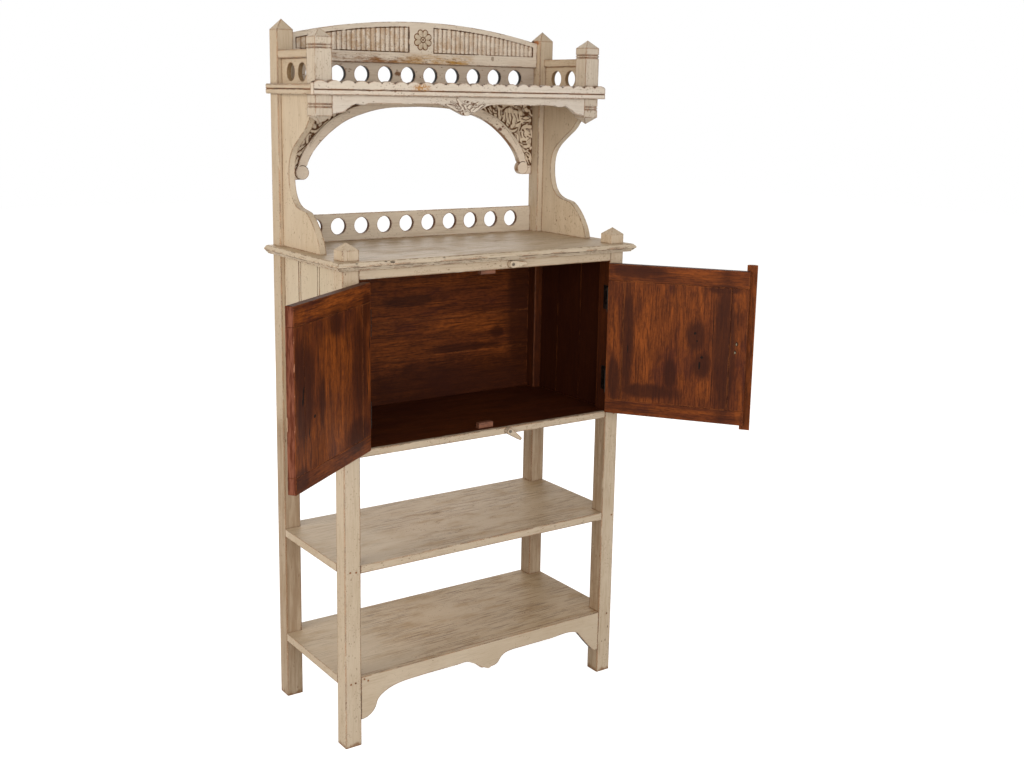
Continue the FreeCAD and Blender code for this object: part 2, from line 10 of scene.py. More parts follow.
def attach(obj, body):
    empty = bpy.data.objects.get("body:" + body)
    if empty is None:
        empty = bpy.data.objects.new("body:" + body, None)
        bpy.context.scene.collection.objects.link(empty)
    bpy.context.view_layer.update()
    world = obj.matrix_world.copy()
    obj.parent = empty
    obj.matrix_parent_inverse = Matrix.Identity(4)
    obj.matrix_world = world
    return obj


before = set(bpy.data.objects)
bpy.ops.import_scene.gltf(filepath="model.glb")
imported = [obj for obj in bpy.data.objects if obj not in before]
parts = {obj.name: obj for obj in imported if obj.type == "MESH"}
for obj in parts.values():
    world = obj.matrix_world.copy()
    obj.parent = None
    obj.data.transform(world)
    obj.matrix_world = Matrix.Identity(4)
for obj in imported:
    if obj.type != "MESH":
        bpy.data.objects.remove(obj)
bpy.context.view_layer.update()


# Posts
# Four square hardwood posts, with two pointed blocks above the front ones. They carry old
# cream paint over brown wood. It is rubbed through on the arrises, brown glaze lies along
# the brush marks, and the corners are darkened by brown dirt and painted shade.
def tint(red, green, blue):
    # A colour as the eye reads it, turned into the linear values that a shader takes.
    return tuple(((c / 255 + 0.055) / 1.055) ** 2.4 for c in (red, green, blue)) + (1.0,)


class Wire:
    # What comes out of a shader node. A sum written with wires makes its Math nodes.
    def __init__(self, socket):
        self.socket, self.tree = socket, socket.id_data

    def __add__(self, other):
        return sums("ADD", self, other)

    def __sub__(self, other):
        return sums("SUBTRACT", self, other)

    def __rsub__(self, other):
        return sums("SUBTRACT", other, self)

    def __mul__(self, other):
        return sums("MULTIPLY", self, other)


def wires(made):
    # The outputs of a shader node, by name and by number.
    named = {socket.name: Wire(socket) for socket in reversed(made.outputs[:])}
    return {**named, **{i: Wire(socket) for i, socket in enumerate(made.outputs)}}


def node(kind, inputs=None, tree=None, **settings):
    # One shader node with its settings, and a value or a wire for each input. One without a
    # wire is told its tree.
    inputs = inputs or {}
    tree = tree or next(value.tree for value in inputs.values() if isinstance(value, Wire))
    made = tree.nodes.new("ShaderNode" + kind)
    for name, value in settings.items():
        setattr(made, name, value)
    for key, value in inputs.items():
        if isinstance(value, Wire):
            tree.links.new(value.socket, made.inputs[key])
        else:
            made.inputs[key].default_value = value
    return wires(made)


def sums(operation, *values):
    return node("Math", dict(enumerate(values)), operation=operation)[0]


def highest(masks):
    most = masks[0]
    for mask in masks[1:]:
        most = sums("MAXIMUM", most, mask)
    return most


def ramp(value, low, high):
    # A soft step, from nought at low to one at high.
    return node("MapRange", {"Value": value, "From Min": low, "From Max": high},
                interpolation_type="SMOOTHSTEP")[0]


def spread(value, first, last, low=0.0, high=1.0):
    # From first to last, while the value goes from low to high.
    return node("MapRange", {"Value": value, "From Min": low, "From Max": high,
                             "To Min": first, "To Max": last})[0]


def mixed(factor, first, second):
    return node("Mix", {0: factor, 6: first, 7: second}, data_type="RGBA")[2]


def split(vector):
    return node("SeparateXYZ", {0: vector})


def stretched(vector, size):
    return node("VectorMath", {0: vector, 1: size}, operation="MULTIPLY")[0]


def moved(vector, back):
    return node("VectorMath", {0: vector, 1: back}, operation="SUBTRACT")[0]


def far_from(place, centre, size):
    # How far the place is from a centre, with each axis stretched by a size.
    return node("VectorMath", {0: stretched(moved(place, centre), size)},
                operation="LENGTH")["Value"]


def facing(place):
    # How far the surface faces right, back and up.
    return split(node("TexCoord", tree=place.tree)["Normal"])


def cloud(vector, size, detail=4.0, rough=0.55, warp=0.0):
    # Noise with so many cells to the metre along each axis.
    return node("TexNoise", {
        "Vector": stretched(vector, size), "Scale": 1.0, "Detail": detail,
        "Roughness": rough, "Distortion": warp})[0]


def effect(name, inputs, outputs):
    # An empty group of shader nodes with named sockets, what it is given and how it gives.
    group = bpy.data.node_groups.new(name, "ShaderNodeTree")
    for label, kind, value in inputs:
        socket = group.interface.new_socket(label, in_out="INPUT",
                                            socket_type="NodeSocket" + kind)
        if value is not None:
            socket.default_value = value
    for label, kind in outputs:
        group.interface.new_socket(label, in_out="OUTPUT", socket_type="NodeSocket" + kind)
    given = wires(group.nodes.new("NodeGroupInput"))
    result = group.nodes.new("NodeGroupOutput").inputs

    def give(label, wire):
        group.links.new(wire.socket, result[label])

    return group, given, give


rubbed_edges, given, give = effect(
    "Rubbed edges",
    [("Vector", "Vector", None), ("Width", "Float", 0.0044), ("Amount", "Float", 0.5)],
    [("Mask", "Float"), ("Normal", "Vector")])
eased = node("Bevel", {"Radius": given["Width"]}, samples=4)[0]
straight = node("NewGeometry", tree=rubbed_edges)["Normal"]
turn = node("VectorMath", {0: eased, 1: straight}, operation="DOT_PRODUCT")["Value"]
broken = ramp(cloud(given["Vector"], (16, 70, 70), 5, 0.7), 0.3, 0.7)
start = 0.9 - given["Amount"]
give("Mask", ramp(turn, 0.985, 0.93) * ramp(broken, start, start + 0.16))
give("Normal", node("Bevel", {"Radius": 0.0012}, rubbed_edges, samples=2)[0])

# Corners and creases found by ambient occlusion, darkened as brown dirt and painted shade.
corner_dirt_and_shade, given, give = effect(
    "Corner dirt and shade", [("Vector", "Vector", None), ("Reach", "Float", 0.0045)], [("Mask", "Float")])
open_sky = node("AmbientOcclusion", {"Distance": given["Reach"]}, samples=4)["AO"]
patchy = ramp(cloud(given["Vector"], (20, 50, 50), 4, 0.6), 0.3, 0.6)
give("Mask", ramp(open_sky, 0.86, 0.5) * patchy)

aged_paint, given, give = effect(
    "Aged paint",
    [("Vector", "Vector", None), ("Paint", "Color", tint(193, 174, 149)),
     ("Glaze", "Color", tint(142, 110, 74)), ("Wood", "Color", tint(84, 50, 27)),
     ("Brush", "Float", 0.4), ("Top", "Float", 0.0), ("Rubbed", "Float", 0.0),
     ("Dirt and shade", "Float", 0.0), ("Recess", "Float", 0.0)],
    [("Color", "Color"), ("Roughness", "Float"), ("Height", "Float")])
grain = given["Vector"]
# The coat itself: two shades of paint, mottled and yellower where it lies flat.
lying = ramp(facing(grain)[2], 0.75, 0.95) * given["Top"]
strength = given["Brush"] + lying
faded = mixed(0.4, given["Paint"], tint(212, 196, 174))
coat = mixed(ramp(cloud(grain, (3, 9, 9), 3), 0.35, 0.7), given["Paint"], faded)
mottle = ramp(cloud(grain, (11, 34, 34), 5, 0.65), 0.46, 0.74)
coat = mixed(mottle * strength * 0.36, coat, given["Glaze"])
coat = mixed(lying * 0.42, coat, tint(158, 122, 66))
# Glaze along the brush strokes, in thin lines and in the fibres.
streak = ramp(cloud(grain, (7, 210, 210), 6, 0.72), 0.52, 0.64)
patch = ramp(cloud(grain, (4, 15, 15), 4, 0.6), 0.4, 0.62)
stroke = streak * patch * (strength * 0.8)
coat = mixed(node("Clamp", {"Value": stroke})[0], coat, given["Glaze"])
thin_line = ramp(cloud(grain, (13, 330, 330), 5, 0.7), 0.5, 0.63)
thin_line *= ramp(cloud(grain, (4, 11, 11), 4, 0.6), 0.36, 0.56)
coat = mixed(thin_line * (lying * 0.8 + 0.12), coat, tint(100, 74, 42))
fibre = cloud(grain, (35, 800, 800), 3, 0.6)
coat = mixed(ramp(fibre, 0.5, 0.75) * 0.25, coat, given["Glaze"])
# Flecks where the coat is chipped, and small pits.
wobble = node("TexNoise", {"Vector": grain, "Scale": 90.0, "Detail": 3.0})["Color"]
ragged = node("VectorMath", {0: grain, 1: stretched(wobble, (0.016, 0.007, 0.007))})[0]
cells = node("TexVoronoi", {"Vector": stretched(ragged, (60, 150, 150)), "Scale": 1.0})
fleck = ramp(cells["Distance"], 0.26, 0.1) * ramp(cells["Color"], 0.66, 0.68)
fleck *= ramp(cloud(grain, (5, 13, 13), 3, 0.6), 0.42, 0.56)
coat = mixed(fleck * 0.8, coat, tint(98, 64, 36))
pits = node("TexVoronoi", {"Vector": stretched(grain, (230, 290, 290)), "Scale": 1.0})
pit = ramp(pits["Distance"], 0.44, 0.2) * ramp(pits["Color"], 0.7, 0.72)
pit *= ramp(cloud(grain, (9, 24, 24), 3, 0.6), 0.44, 0.58)
coat = mixed(pit * 0.6, coat, tint(110, 78, 48))
# Brown in the recesses, dirt and painted shade in corners, bare wood where rubbed through.
deep = given["Recess"] * ramp(cloud(grain, (30, 60, 60), 4, 0.6), 0.12, 0.45)
coat = mixed(deep, coat, tint(88, 54, 28))
coat = mixed(given["Dirt and shade"] * 0.92, coat, tint(100, 62, 34))
bare = ramp(cloud(grain, (30, 90, 90), 4, 0.7), 0.4, 0.56)
bare = mixed(bare, given["Wood"], tint(146, 94, 54))
give("Color", mixed(given["Rubbed"] * 0.92, coat, bare))
give("Roughness", spread(mottle, 0.52, 0.68))
give("Height", fibre * 0.35 - sums("MAXIMUM", given["Rubbed"], fleck))

old_stain, given, give = effect(
    "Old stain",
    [("Vector", "Vector", None), ("Dark", "Color", tint(50, 22, 13)),
     ("Middle", "Color", tint(102, 50, 24)), ("Bright", "Color", tint(150, 78, 30)),
     ("Scar", "Float", 0.0), ("Shade", "Float", 0.0), ("Glow", "Float", 0.0)],
    [("Color", "Color"), ("Roughness", "Float"), ("Height", "Float")])
grain = given["Vector"]
ring = sums("PINGPONG", cloud(grain, (1.7, 13, 13), 3, 0.5, 0.5) * 15, 0.5)
broad = ramp(cloud(grain, (4, 13, 13), 5, 0.6), 0.36, 0.64)
streaky = ramp(cloud(grain, (7, 60, 60), 5, 0.6), 0.4, 0.64)
fine = cloud(grain, (14, 320, 320), 5, 0.65)
pores = ramp(cloud(grain, (70, 240, 240), 4, 0.7), 0.44, 0.62)
smudge = ramp(cloud(grain, (7, 14, 14), 5, 0.65), 0.54, 0.64)
body = mixed(broad * 0.5, given["Middle"], given["Bright"])
body = mixed(given["Glow"] * 0.85, body, given["Bright"])
for darker in (streaky * 0.4, ramp(ring, 0.3, 0.02) * 0.2, ramp(fine, 0.46, 0.64) * 0.7,
               pores * 0.42):
    body = mixed(darker, body, given["Dark"])
body = mixed(smudge * 0.5, body, tint(62, 28, 22))
# Shade darkens towards the dark colour: inside the cupboard it is painted shade, on the doors the
# darker boards.
body = mixed(given["Shade"], body, given["Dark"])
give("Color", mixed(given["Scar"], body, tint(22, 11, 7)))
give("Roughness", spread(broad, 0.5, 0.38))
give("Height", fine * 0.5 - given["Scar"])


def box_mask(place, low, high, soft=0.0003):
    # One inside an upright box and nought outside. A limit of None leaves that side open.
    sides = split(place)
    steps = [ramp(sides[i], limit + sign * soft, limit - sign * soft)
             for i in range(3) for limit, sign in ((low[i], -1), (high[i], 1))
             if limit is not None]
    return math.prod(steps[1:], start=steps[0])


# The stained inside of the cupboard: its floor, the underside of the worktop and its back.
case_low, case_top, case_back = 0.7294, 1.1474, 0.1723


def inside_case(place):
    # The inside of the cupboard was stained and never painted. The paint laps in unevenly.
    lap = node("CombineXYZ", {1: cloud(place, (30, 30, 30), 4) * 0.008})[0]
    return box_mask(moved(place, lap), (-0.382, -0.176, case_low), (0.382, case_back, case_top))


def inside_posts(place):
    # The posts are stained right up to their inner front arrises.
    return sums("MAXIMUM", inside_case(place), box_mask(
        place, (-0.3594, -0.19, case_low), (0.3594, case_back, case_top), 0.0001))


def new_finish(piece, ending):
    # An empty material on the piece. Gives the place on the piece, as a wire.
    material = bpy.data.materials.new(piece.name + ending)
    material.use_nodes = True
    material.node_tree.nodes.clear()
    if piece.material_slots:
        for slot in piece.material_slots:
            slot.material = material
    else:
        piece.data.materials.append(material)
    return node("TexCoord", tree=material.node_tree)["Object"]


def surface(colour, rough, height, normal, strength, depth, **more):
    # The bumped surface that ends a material.
    bump = node("Bump", {"Strength": strength, "Distance": depth, "Height": height,
                         "Normal": normal})[0]
    shader = node("BsdfPrincipled", {"Base Color": colour, "Roughness": rough, "Normal": bump,
                                     **more})
    node("OutputMaterial", {"Surface": shader[0]})


grain_turn = {"x": (0, 0, 0), "y": (0, 0, math.pi / 2), "z": (0, math.pi / 2, 0)}


def dress(piece, grain="z", seed=0.0, brush=0.35, top=0.0, rub=0.5, grime_and_shade=1.0, shine=0.14,
          paint=(193, 174, 149), recess=None, faint=None, carved=False, shut=None, marks=(),
          stain=None, scars=0.0, shade=0.0, glow=0.0, over=None):
    # Give a piece its own paint, and stain where a mask asks for it. A mask is a number or a
    # function of the place on the piece.
    def at(mask):
        return mask(place) if callable(mask) else mask

    place = new_finish(piece, "_finish")
    if shut is not None:
        place = shut(place)
    pattern = node("Mapping", {
        "Vector": place, "Location": (seed * 1.37, seed * 0.71, seed * 2.13),
        "Rotation": grain_turn[grain]})[0]
    edges = node("Group", {"Vector": pattern, "Amount": rub}, node_tree=rubbed_edges)
    # The corners from ambient occlusion: brown dirt and painted shade.
    dirt_and_shade = node("Group", {"Vector": pattern}, node_tree=corner_dirt_and_shade)[0] * grime_and_shade
    deep = 0.0
    if recess is not None:
        axis, floor, top_face = recess
        depth = split(place)[axis]
        end = top_face + 2 * (top_face - floor)
        deep = ramp(depth, floor, top_face) * ramp(depth, end, end - (top_face - floor) / 2)
        if faint is not None:
            deep *= faint(place)
    if carved:
        hollow = node("NewGeometry", tree=place.tree)["Pointiness"]
        deep = sums("MAXIMUM", deep, ramp(hollow, 0.49, 0.43))
    painted = node("Group", {
        "Vector": pattern, "Paint": tint(*paint), "Brush": brush, "Top": top,
        "Rubbed": edges["Mask"], "Dirt and shade": dirt_and_shade, "Recess": deep}, node_tree=aged_paint)
    colour, roughness, height = (painted[i] for i in range(3))
    for mark in marks:
        colour = mark(place, pattern, colour)
    if stain is not None:
        mask = at(stain)
        brown = node("Group", {"Vector": pattern, "Scar": at(scars), "Shade": at(shade),
                               "Glow": at(glow)}, node_tree=old_stain)
        worn = mixed(edges["Mask"] * 0.5, brown[0], tint(150, 86, 44))
        colour = mixed(mask, colour, worn)
        roughness = node("Mix", {0: mask, 2: roughness, 3: brown[1]})[0]
        height = node("Mix", {0: mask, 2: height, 3: brown[2]})[0]
    if over is not None:
        colour = over(place, pattern, colour)
    surface(colour, roughness, height, edges["Normal"], 0.45, 0.0004,
            **{"Specular IOR Level": shine})


def spots(place, table, wave, start, end):
    # A mask of spots with ragged edges. A row has a centre and half sizes in mm, and where it
    # leaves out Y, its spot goes right through the piece.
    masks = []
    for row in table:
        if len(row) == 4:
            row = (row[0], 0, row[1], row[2], math.inf, row[3])
        far = far_from(place, [v / 1000 for v in row[:3]], [1000 / v for v in row[3:]])
        masks.append(ramp(far + wave, start, end))
    return highest(masks)


def blots(table, shade, most=0.9):
    # Small worn marks in the paint.
    def mark(place, pattern, colour):
        wave = cloud(place, (120, 120, 120), 5, 0.75) * 1.6
        return mixed(spots(place, table, wave, 1.9, 1.4) * most, colour, tint(*shade))
    return mark


def scuffed_foot(place, pattern, colour):
    # The feet are scuffed to the brown just above the floor.
    wave = cloud(place, (70, 70, 22), 5, 0.7) * 0.05
    low = ramp(split(place)[2] + wave, 0.036, 0.026)
    return mixed(low * 0.8, colour, tint(122, 84, 50))


def browned_and_shaded(place, pattern, colour):
    # Below the cupboard the posts' left faces and the rear posts are streaked brown:
    # painted shade, with some brown glaze.
    level = split(place)
    shaded = sums("MAXIMUM", ramp(facing(place)[0], -0.5, -0.8), ramp(level[1], 0.1, 0.13))
    long = spread(cloud(pattern, (7, 90, 90), 5, 0.7), 0.2, 0.6, 0.35, 0.6)
    return mixed(shaded * ramp(level[2], 0.76, 0.70) * long, colour, tint(126, 92, 58))


post_marks = {
    "post_front_right": (browned_and_shaded, blots([
        (392, -182, 124, 1.4, 3, 4), (385, -182, 87, 1.6, 3, 4), (373.5, -182, 86, 1.8, 3, 2.4)],
        (84, 60, 40))),
    "post_rear_left": (browned_and_shaded,),
    # Beside the crest board's end: an orange chip, and behind it a dark mark painted as the crest's
    # shadow.
    "post_rear_right": (browned_and_shaded, blots([(359, 160, 1671, 5, 16, 7)], (164, 100, 52)),
                        blots([(359, 175, 1672, 4, 8, 7)], (62, 36, 20)))}
# The right posts get more glaze in their paint, partly as painted shade. Inside the cupboard the
# posts' stain is darkened (shade) as painted shade.
for i, name in enumerate(("post_front_left", "post_front_right", "post_rear_left",
                          "post_rear_right", "post_cap_left", "post_cap_right")):
    dress(parts[name], "z", i + 1.0, rub=0.35 if "cap" in name else 0.8, stain=inside_posts,
          brush=0.55 if "right" in name else 0.35, shade=0.6,
          marks=(scuffed_foot,) + post_marks.get(name, ()))


# Open shelves and apron
# Two boards let in round the posts, with the shaped apron nailed under the lower one. Their
# tops have lost most of their paint to long brown streaks.
def pale_end(place, pattern, colour):
    # The tops are paler towards the left ends: more paint kept there, and painted light from the
    # left.
    wave = cloud(place, (9, 30, 9), 4, 0.6) * 0.2
    left = ramp(split(place)[0] + wave, -0.02, -0.2)
    return mixed(left * facing(place)[2] * 0.45, colour, tint(206, 190, 166))


dress(parts["shelf_middle"], "x", 11.0, top=0.75, rub=0.74, marks=(
    pale_end,
    blots([(150, -182, 423, 40, 4, 2.6), (96, -182, 424, 14, 4, 2), (-270, -182, 428, 18, 4, 3),
           (-190, -182, 423, 16, 4, 2)], (104, 70, 42))))
dress(parts["shelf_lower"], "x", 12.3, top=0.9, rub=0.7, marks=(pale_end,))


def sawn_edge_and_shadow(place, pattern, colour):
    # The sawn lower edge of the apron was painted thinly, and its brown shows.
    # Where the edge faces left it is painted near black: painted shadow.
    right, back, up = (facing(place)[i] for i in range(3))
    cut = ramp(sums("ABSOLUTE", back), 0.7, 0.4) * ramp(up, 0.5, 0.2)
    thin = ramp(cloud(place, (40, 40, 40), 4, 0.6), 0.2, 0.5)
    dark = mixed(ramp(right, -0.3, -0.5), tint(92, 60, 36), tint(34, 20, 12))
    return mixed(cut * thin, colour, dark)


dress(parts["apron_front"], "x", 13.1, top=0.8, rub=0.74, marks=(
    sawn_edge_and_shadow, blots([(-6, -182, 98, 26, 4, 3), (60, -182, 110, 10, 4, 3)], (104, 72, 46))))

# Cupboard
# A floor, two sides of beaded boards and a back, with a rail over the doors and two small
# stop blocks of bare wood. Outside it is painted, and inside it is stained brown and painted darker
# as shade.
# Inside the cupboard the stain of these boards is darkened (shade) as painted shade, most on the
# side boards.
for i, name in enumerate(("side_boards_left", "side_boards_right")):
    side = 2 * i - 1
    dress(parts[name], "z", 21.0 + i, rub=0.5, brush=0.15, stain=inside_case, shine=0.05,
          paint=(201, 186, 163), shade=0.88, recess=(0, side * 0.3895, side * 0.3884))
for i, name in enumerate(("cupboard_floor", "top_rail")):
    dress(parts[name], "x", 24.0 + i, rub=0.64, stain=inside_case, shine=0.06, shade=0.6)


def zones(table, most):
    # Broad soft patches in a stained face.
    return lambda place: spots(place, table, cloud(place, (30, 30, 9), 5, 0.6), 1.85, 1.15) * most


def dusty_back(place, pattern, colour):
    # The back was never polished. It is dull and dusty.
    dust = spread(cloud(pattern, (6, 20, 20), 4, 0.6), 0.15, 0.6)
    return mixed(ramp(facing(place)[1], 0.5, 0.8) * dust, colour, tint(112, 84, 60))


# The back is darkened as painted shade near the floor, the side walls and the worktop, with lighter
# bands across its middle.
dress(parts["back_boards"], "x", 27.4, stain=1.0, shine=0.06, over=dusty_back,
      shade=zones([(120, 765, 330, 70), (345, 930, 60, 240), (60, 1130, 420, 70),
                   (-330, 930, 60, 240), (255, 892, 22, 16), (150, 860, 120, 12),
                   (-20, 1000, 90, 14)], 0.75),
      glow=zones([(40, 1060, 120, 26), (180, 930, 150, 26), (-60, 870, 130, 30)], 0.5))

# The stop blocks are bare reddish wood, darker towards their worn corners.
for name, seed in (("door_stop_upper", 3.0), ("door_stop_lower", 5.2)):
    place = new_finish(parts[name], "_wood")
    pattern = node("Mapping", {"Vector": place, "Location": (seed, seed, seed)})[0]
    wood = node("Group", {"Vector": pattern, "Dark": tint(84, 46, 30), "Middle": tint(134, 82, 56),
                          "Bright": tint(160, 106, 76)}, node_tree=old_stain)
    edges = node("Group", {"Vector": pattern, "Amount": 0.6}, node_tree=rubbed_edges)
    colour = mixed(edges["Mask"] * 0.5, wood["Color"], tint(84, 48, 32))
    surface(colour, 0.62, wood["Height"], edges["Normal"], 0.4, 0.0003)


# Worktop
# One thick board with a moulded edge on its front and sides. Its face is rubbed to the
# brown along the grain, and its underside is stained where it closes the cupboard.
def moulding_lines(place, pattern, colour):
    # Brown lies in thin broken lines along the steps of the moulded edge: the height of each
    # line, its half width, how unbroken it is, and its colour.
    steep = ramp(sums("ABSOLUTE", facing(place)[2]), 0.97, 0.9)
    wander = (cloud(place, (14, 14, 14), 3) - 0.5) * 0.002
    level = split(place)[2] + wander
    for z, half, low, shade in ((1.1546, 0.0006, 0.42, (74, 44, 24)),
                                (1.1502, 0.0004, 0.48, (90, 56, 32)),
                                (1.1662, 0.0006, 0.44, (84, 52, 28)),
                                (1.1612, 0.0004, 0.54, (104, 70, 42))):
        line = ramp(sums("ABSOLUTE", level - z), half * 1.7, half * 0.7)
        gaps = ramp(cloud(place, (40 + z * 9, 40, 60), 5, 0.7), low, low + 0.1)
        colour = mixed(line * gaps * steep * 0.9, colour, tint(*shade))
    return colour


dress(parts["worktop"], "x", 31.7, top=0.6, rub=0.4, stain=inside_case, grime_and_shade=0.6,
      paint=(200, 183, 159), marks=(moulding_lines, blots(
          [(-287, -205, 1163, 8, 6, 2.5), (-303, -204, 1165, 6, 5, 2),
           (-150, -204, 1165, 6, 5, 2), (-376, -205, 1164, 5, 5, 2),
           (52, -206, 1152, 14, 4, 1.4)], (44, 26, 14))))

# Doors
# Two framed doors that hang open. Their outer faces and recessed panels are painted. The
# inner faces show old stained boards with knots, cracks and a joint in the right panel.
pin_at = {-1: Vector((-0.3577, -0.1865, 0)), 1: Vector((0.3577, -0.1865, 0))}
rest_turn = {-1: math.radians(-143.5), 1: math.radians(126.3)}


def shut_place(side):
    # Object coordinates as they would be with the door swung shut.
    angle, pin = -rest_turn[side], pin_at[side]
    offset = pin - Matrix.Rotation(angle, 3, "Z") @ pin
    return lambda place: node("Mapping", {"Vector": place, "Location": offset,
                                          "Rotation": (0, 0, angle)})[0]


def unpainted(side):
    # The paint covers the outer face, the recessed panel and a little of the edges.
    def mask(place):
        wave = cloud(place, (60, 60, 25), 4) * 0.0025
        outer = ramp(split(place)[1] - wave, -0.1822, -0.1826)
        x0, x1 = sorted((side * 0.0430, side * 0.3146))
        panel = box_mask(place, (x0, None, 0.7708), (x1, -0.1736, 1.0782))
        return 1.0 - sums("MAXIMUM", outer, panel)
    return mask


def knots(table):
    # Dark knots, cracks and screw marks in a stained face.
    return lambda place: spots(place, table, cloud(place, (90, 90, 90), 3), 1.65, 1.2)


# Where they lie with the doors shut: the left one first.
scar_table = {
    -1: [(-37, 933, 2.2, 18), (-34, 920, 2.8, 9), (-40, 946, 1.8, 9), (-85, 880, 5, 4),
         (-61.6, 851, 2.2, 12), (-64, 838, 1.4, 7), (-349, 985, 1.8, 14), (-343, 930, 1.4, 26),
         (-338, 885, 1.6, 16)],
    1: [(129.5, 959, 3.4, 3), (110.5, 899.5, 3.6, 3.4), (115.6, 878, 2.6, 10), (124, 940, 2, 3),
        (300, 905, 1.4, 14), (85.2, 980, 0.9, 60), (83, 830, 0.9, 50)],
}
dark_table = {
    -1: [(-42, 985, 40, 70), (-40, 895, 34, 62), (-300, 945, 36, 104), (-184, 1056, 30, 30),
         (-288, 790, 52, 40), (-26, 760, 28, 26), (-330, 1062, 22, 40), (-120, 905, 12, 60)],
    1: [(304, 930, 17, 150), (246, 800, 74, 20), (129, 951, 24, 42), (107, 880, 22, 34),
        (56, 925, 30, 172), (285, 1108, 70, 18), (190, 850, 14, 40),
        (60, 1074, 44, 12), (335, 830, 14, 60)],
}
light_table = {
    -1: [(-180, 960, 76, 68), (-150, 1015, 50, 30), (-140, 828, 96, 58), (-60, 1098, 60, 14),
         (-180, 1102, 160, 17), (-346, 900, 8, 60)],
    1: [(259, 905, 25, 100), (212, 1015, 50, 50), (232, 955, 52, 60), (115, 1036, 5, 28),
        (20, 1048, 20, 36), (29, 953, 11, 42), (180, 757, 120, 6), (110, 1104, 100, 10),
        (100, 815, 20, 34), (160, 905, 10, 90), (338, 960, 12, 60), (14, 800, 8, 60)],
}


def door_wear_and_shade(side):
    # The free edge of the left door is worn to a pinkish brown, and the top faces of the doors
    # are painted darker as shade. Two old screw marks sit in the right door.
    def over(place, pattern, colour):
        colour = mixed(ramp(facing(place)[2], 0.7, 0.9) * 0.7, colour, tint(66, 42, 32))
        if side < 0:
            edge = box_mask(place, (-0.0014, -0.1825, None), (0.002, None, None), 0.0002)
            flesh = ramp(cloud(place, (150, 150, 14), 5, 0.7), 0.42, 0.6)
            flesh = mixed(flesh, tint(80, 40, 27), tint(126, 76, 58))
            colour = mixed(edge * 0.9, colour, flesh)
            arris = box_mask(place, (-0.0026, -0.1645, 0.79), (None, -0.1600, 1.09), 0.0006)
            broken = ramp(cloud(place, (90, 90, 30), 5, 0.75), 0.54, 0.6)
            colour = mixed(arris * broken, colour, tint(160, 108, 82))
            lap = box_mask(place, (-0.0016, None, 0.866), (None, -0.1795, 0.895), 0.0008)
            return mixed(lap, colour, tint(190, 164, 138))
        inner = box_mask(place, (None, -0.1625, None), (None, None, None), 0.0002)
        for table, shade in (([(25.5, 940, 3.6, 6), (28.6, 919, 3, 5)], (30, 20, 14)),
                             ([(26.2, 939, 1.9, 3.6), (28.9, 917.8, 2, 3)], (124, 112, 92))):
            colour = mixed(knots(table)(place) * inner, colour, tint(*shade))
        return colour
    return over


for side, door in ((-1, "left_door_"), (1, "right_door_")):
    for i, (name, grain) in enumerate((("rail_upper", "x"), ("rail_lower", "x"), ("panel", "z"),
                                       ("stile_hinge", "z"), ("stile_free", "z"))):
        dress(parts[door + name], grain, 40.3 + side * 6 + i, shut=shut_place(side),
              stain=unpainted(side), shine=0.04 if side < 0 else 0.07,
              scars=knots(scar_table[side]), over=door_wear_and_shade(side),
              shade=zones(dark_table[side], 0.72 if side < 0 else 0.8),
              glow=zones(light_table[side], 0.98 if side < 0 else 0.6))
dress(parts["right_door_astragal"], "z", 52.9, rub=0.8, shut=shut_place(1), shine=0.07,
      glow=0.55, stain=lambda place: ramp(split(place)[1], -0.1905, -0.1895))


# Hinges and turn buttons
# Black iron butt hinges on loose pins, with countersunk screws. Each turn button is a
# painted wooden finger on one old steel screw.
def metal(piece, base, worn, rough):
    # Old metal with spots of rust, and paler where its edges are rubbed.
    place = new_finish(piece, "_metal")
    rust = ramp(cloud(place, (160, 160, 160), 5, 0.7), 0.5, 0.68)
    edges = node("Group", {"Vector": place, "Width": 0.0012, "Amount": 0.7},
                 node_tree=rubbed_edges)
    colour = mixed(rust, tint(*base), tint(*worn))
    colour = mixed(edges["Mask"] * 0.6, colour, tint(92, 84, 76))
    surface(colour, spread(rust, rough, 0.75), rust, edges["Normal"], 0.4, 0.0002,
            Metallic=spread(rust, 0.85, 0.2))


for side in ("left", "right"):
    for name in ("hinge_leaves_post_", "hinge_leaves_door_", "hinge_pins_"):
        metal(parts[name + side], (22, 20, 19), (52, 34, 24), 0.5)
metal(parts["turn_button_screws"], (118, 108, 94), (96, 66, 44), 0.42)
dress(parts["turn_button_upper"], "x", 61.0, rub=0.35, brush=0.2, paint=(204, 186, 162))
dress(parts["turn_button_lower"], "x", 62.5, rub=0.8, brush=0.6)


def finished(mesh, name, body):
    # Turn a bmesh into a piece of the object that rides on a body.
    data = bpy.data.meshes.new(name)
    mesh.to_mesh(data)
    mesh.free()
    piece = bpy.data.objects.new(name, data)
    bpy.context.scene.collection.objects.link(piece)
    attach(piece, body)
    return piece


def disc(mesh, place, radius, height, segments, dish):
    # A small round head: a short drum whose face is inset and dished or crowned.
    before = len(mesh.verts)
    made = bmesh.ops.create_circle(mesh, cap_ends=True, radius=radius, segments=segments)
    face = made["verts"][0].link_faces[0]
    out = bmesh.ops.extrude_face_region(mesh, geom=[face])
    top = [v for v in out["geom"] if isinstance(v, bmesh.types.BMVert)]
    bmesh.ops.translate(mesh, verts=top, vec=(0, 0, height))
    cap = [f for f in out["geom"] if isinstance(f, bmesh.types.BMFace)]
    for share in (0.3, 0.35):
        bmesh.ops.inset_region(mesh, faces=cap, thickness=radius * share, depth=dish)
    mesh.verts.ensure_lookup_table()
    bmesh.ops.transform(mesh, matrix=place, verts=mesh.verts[before:])


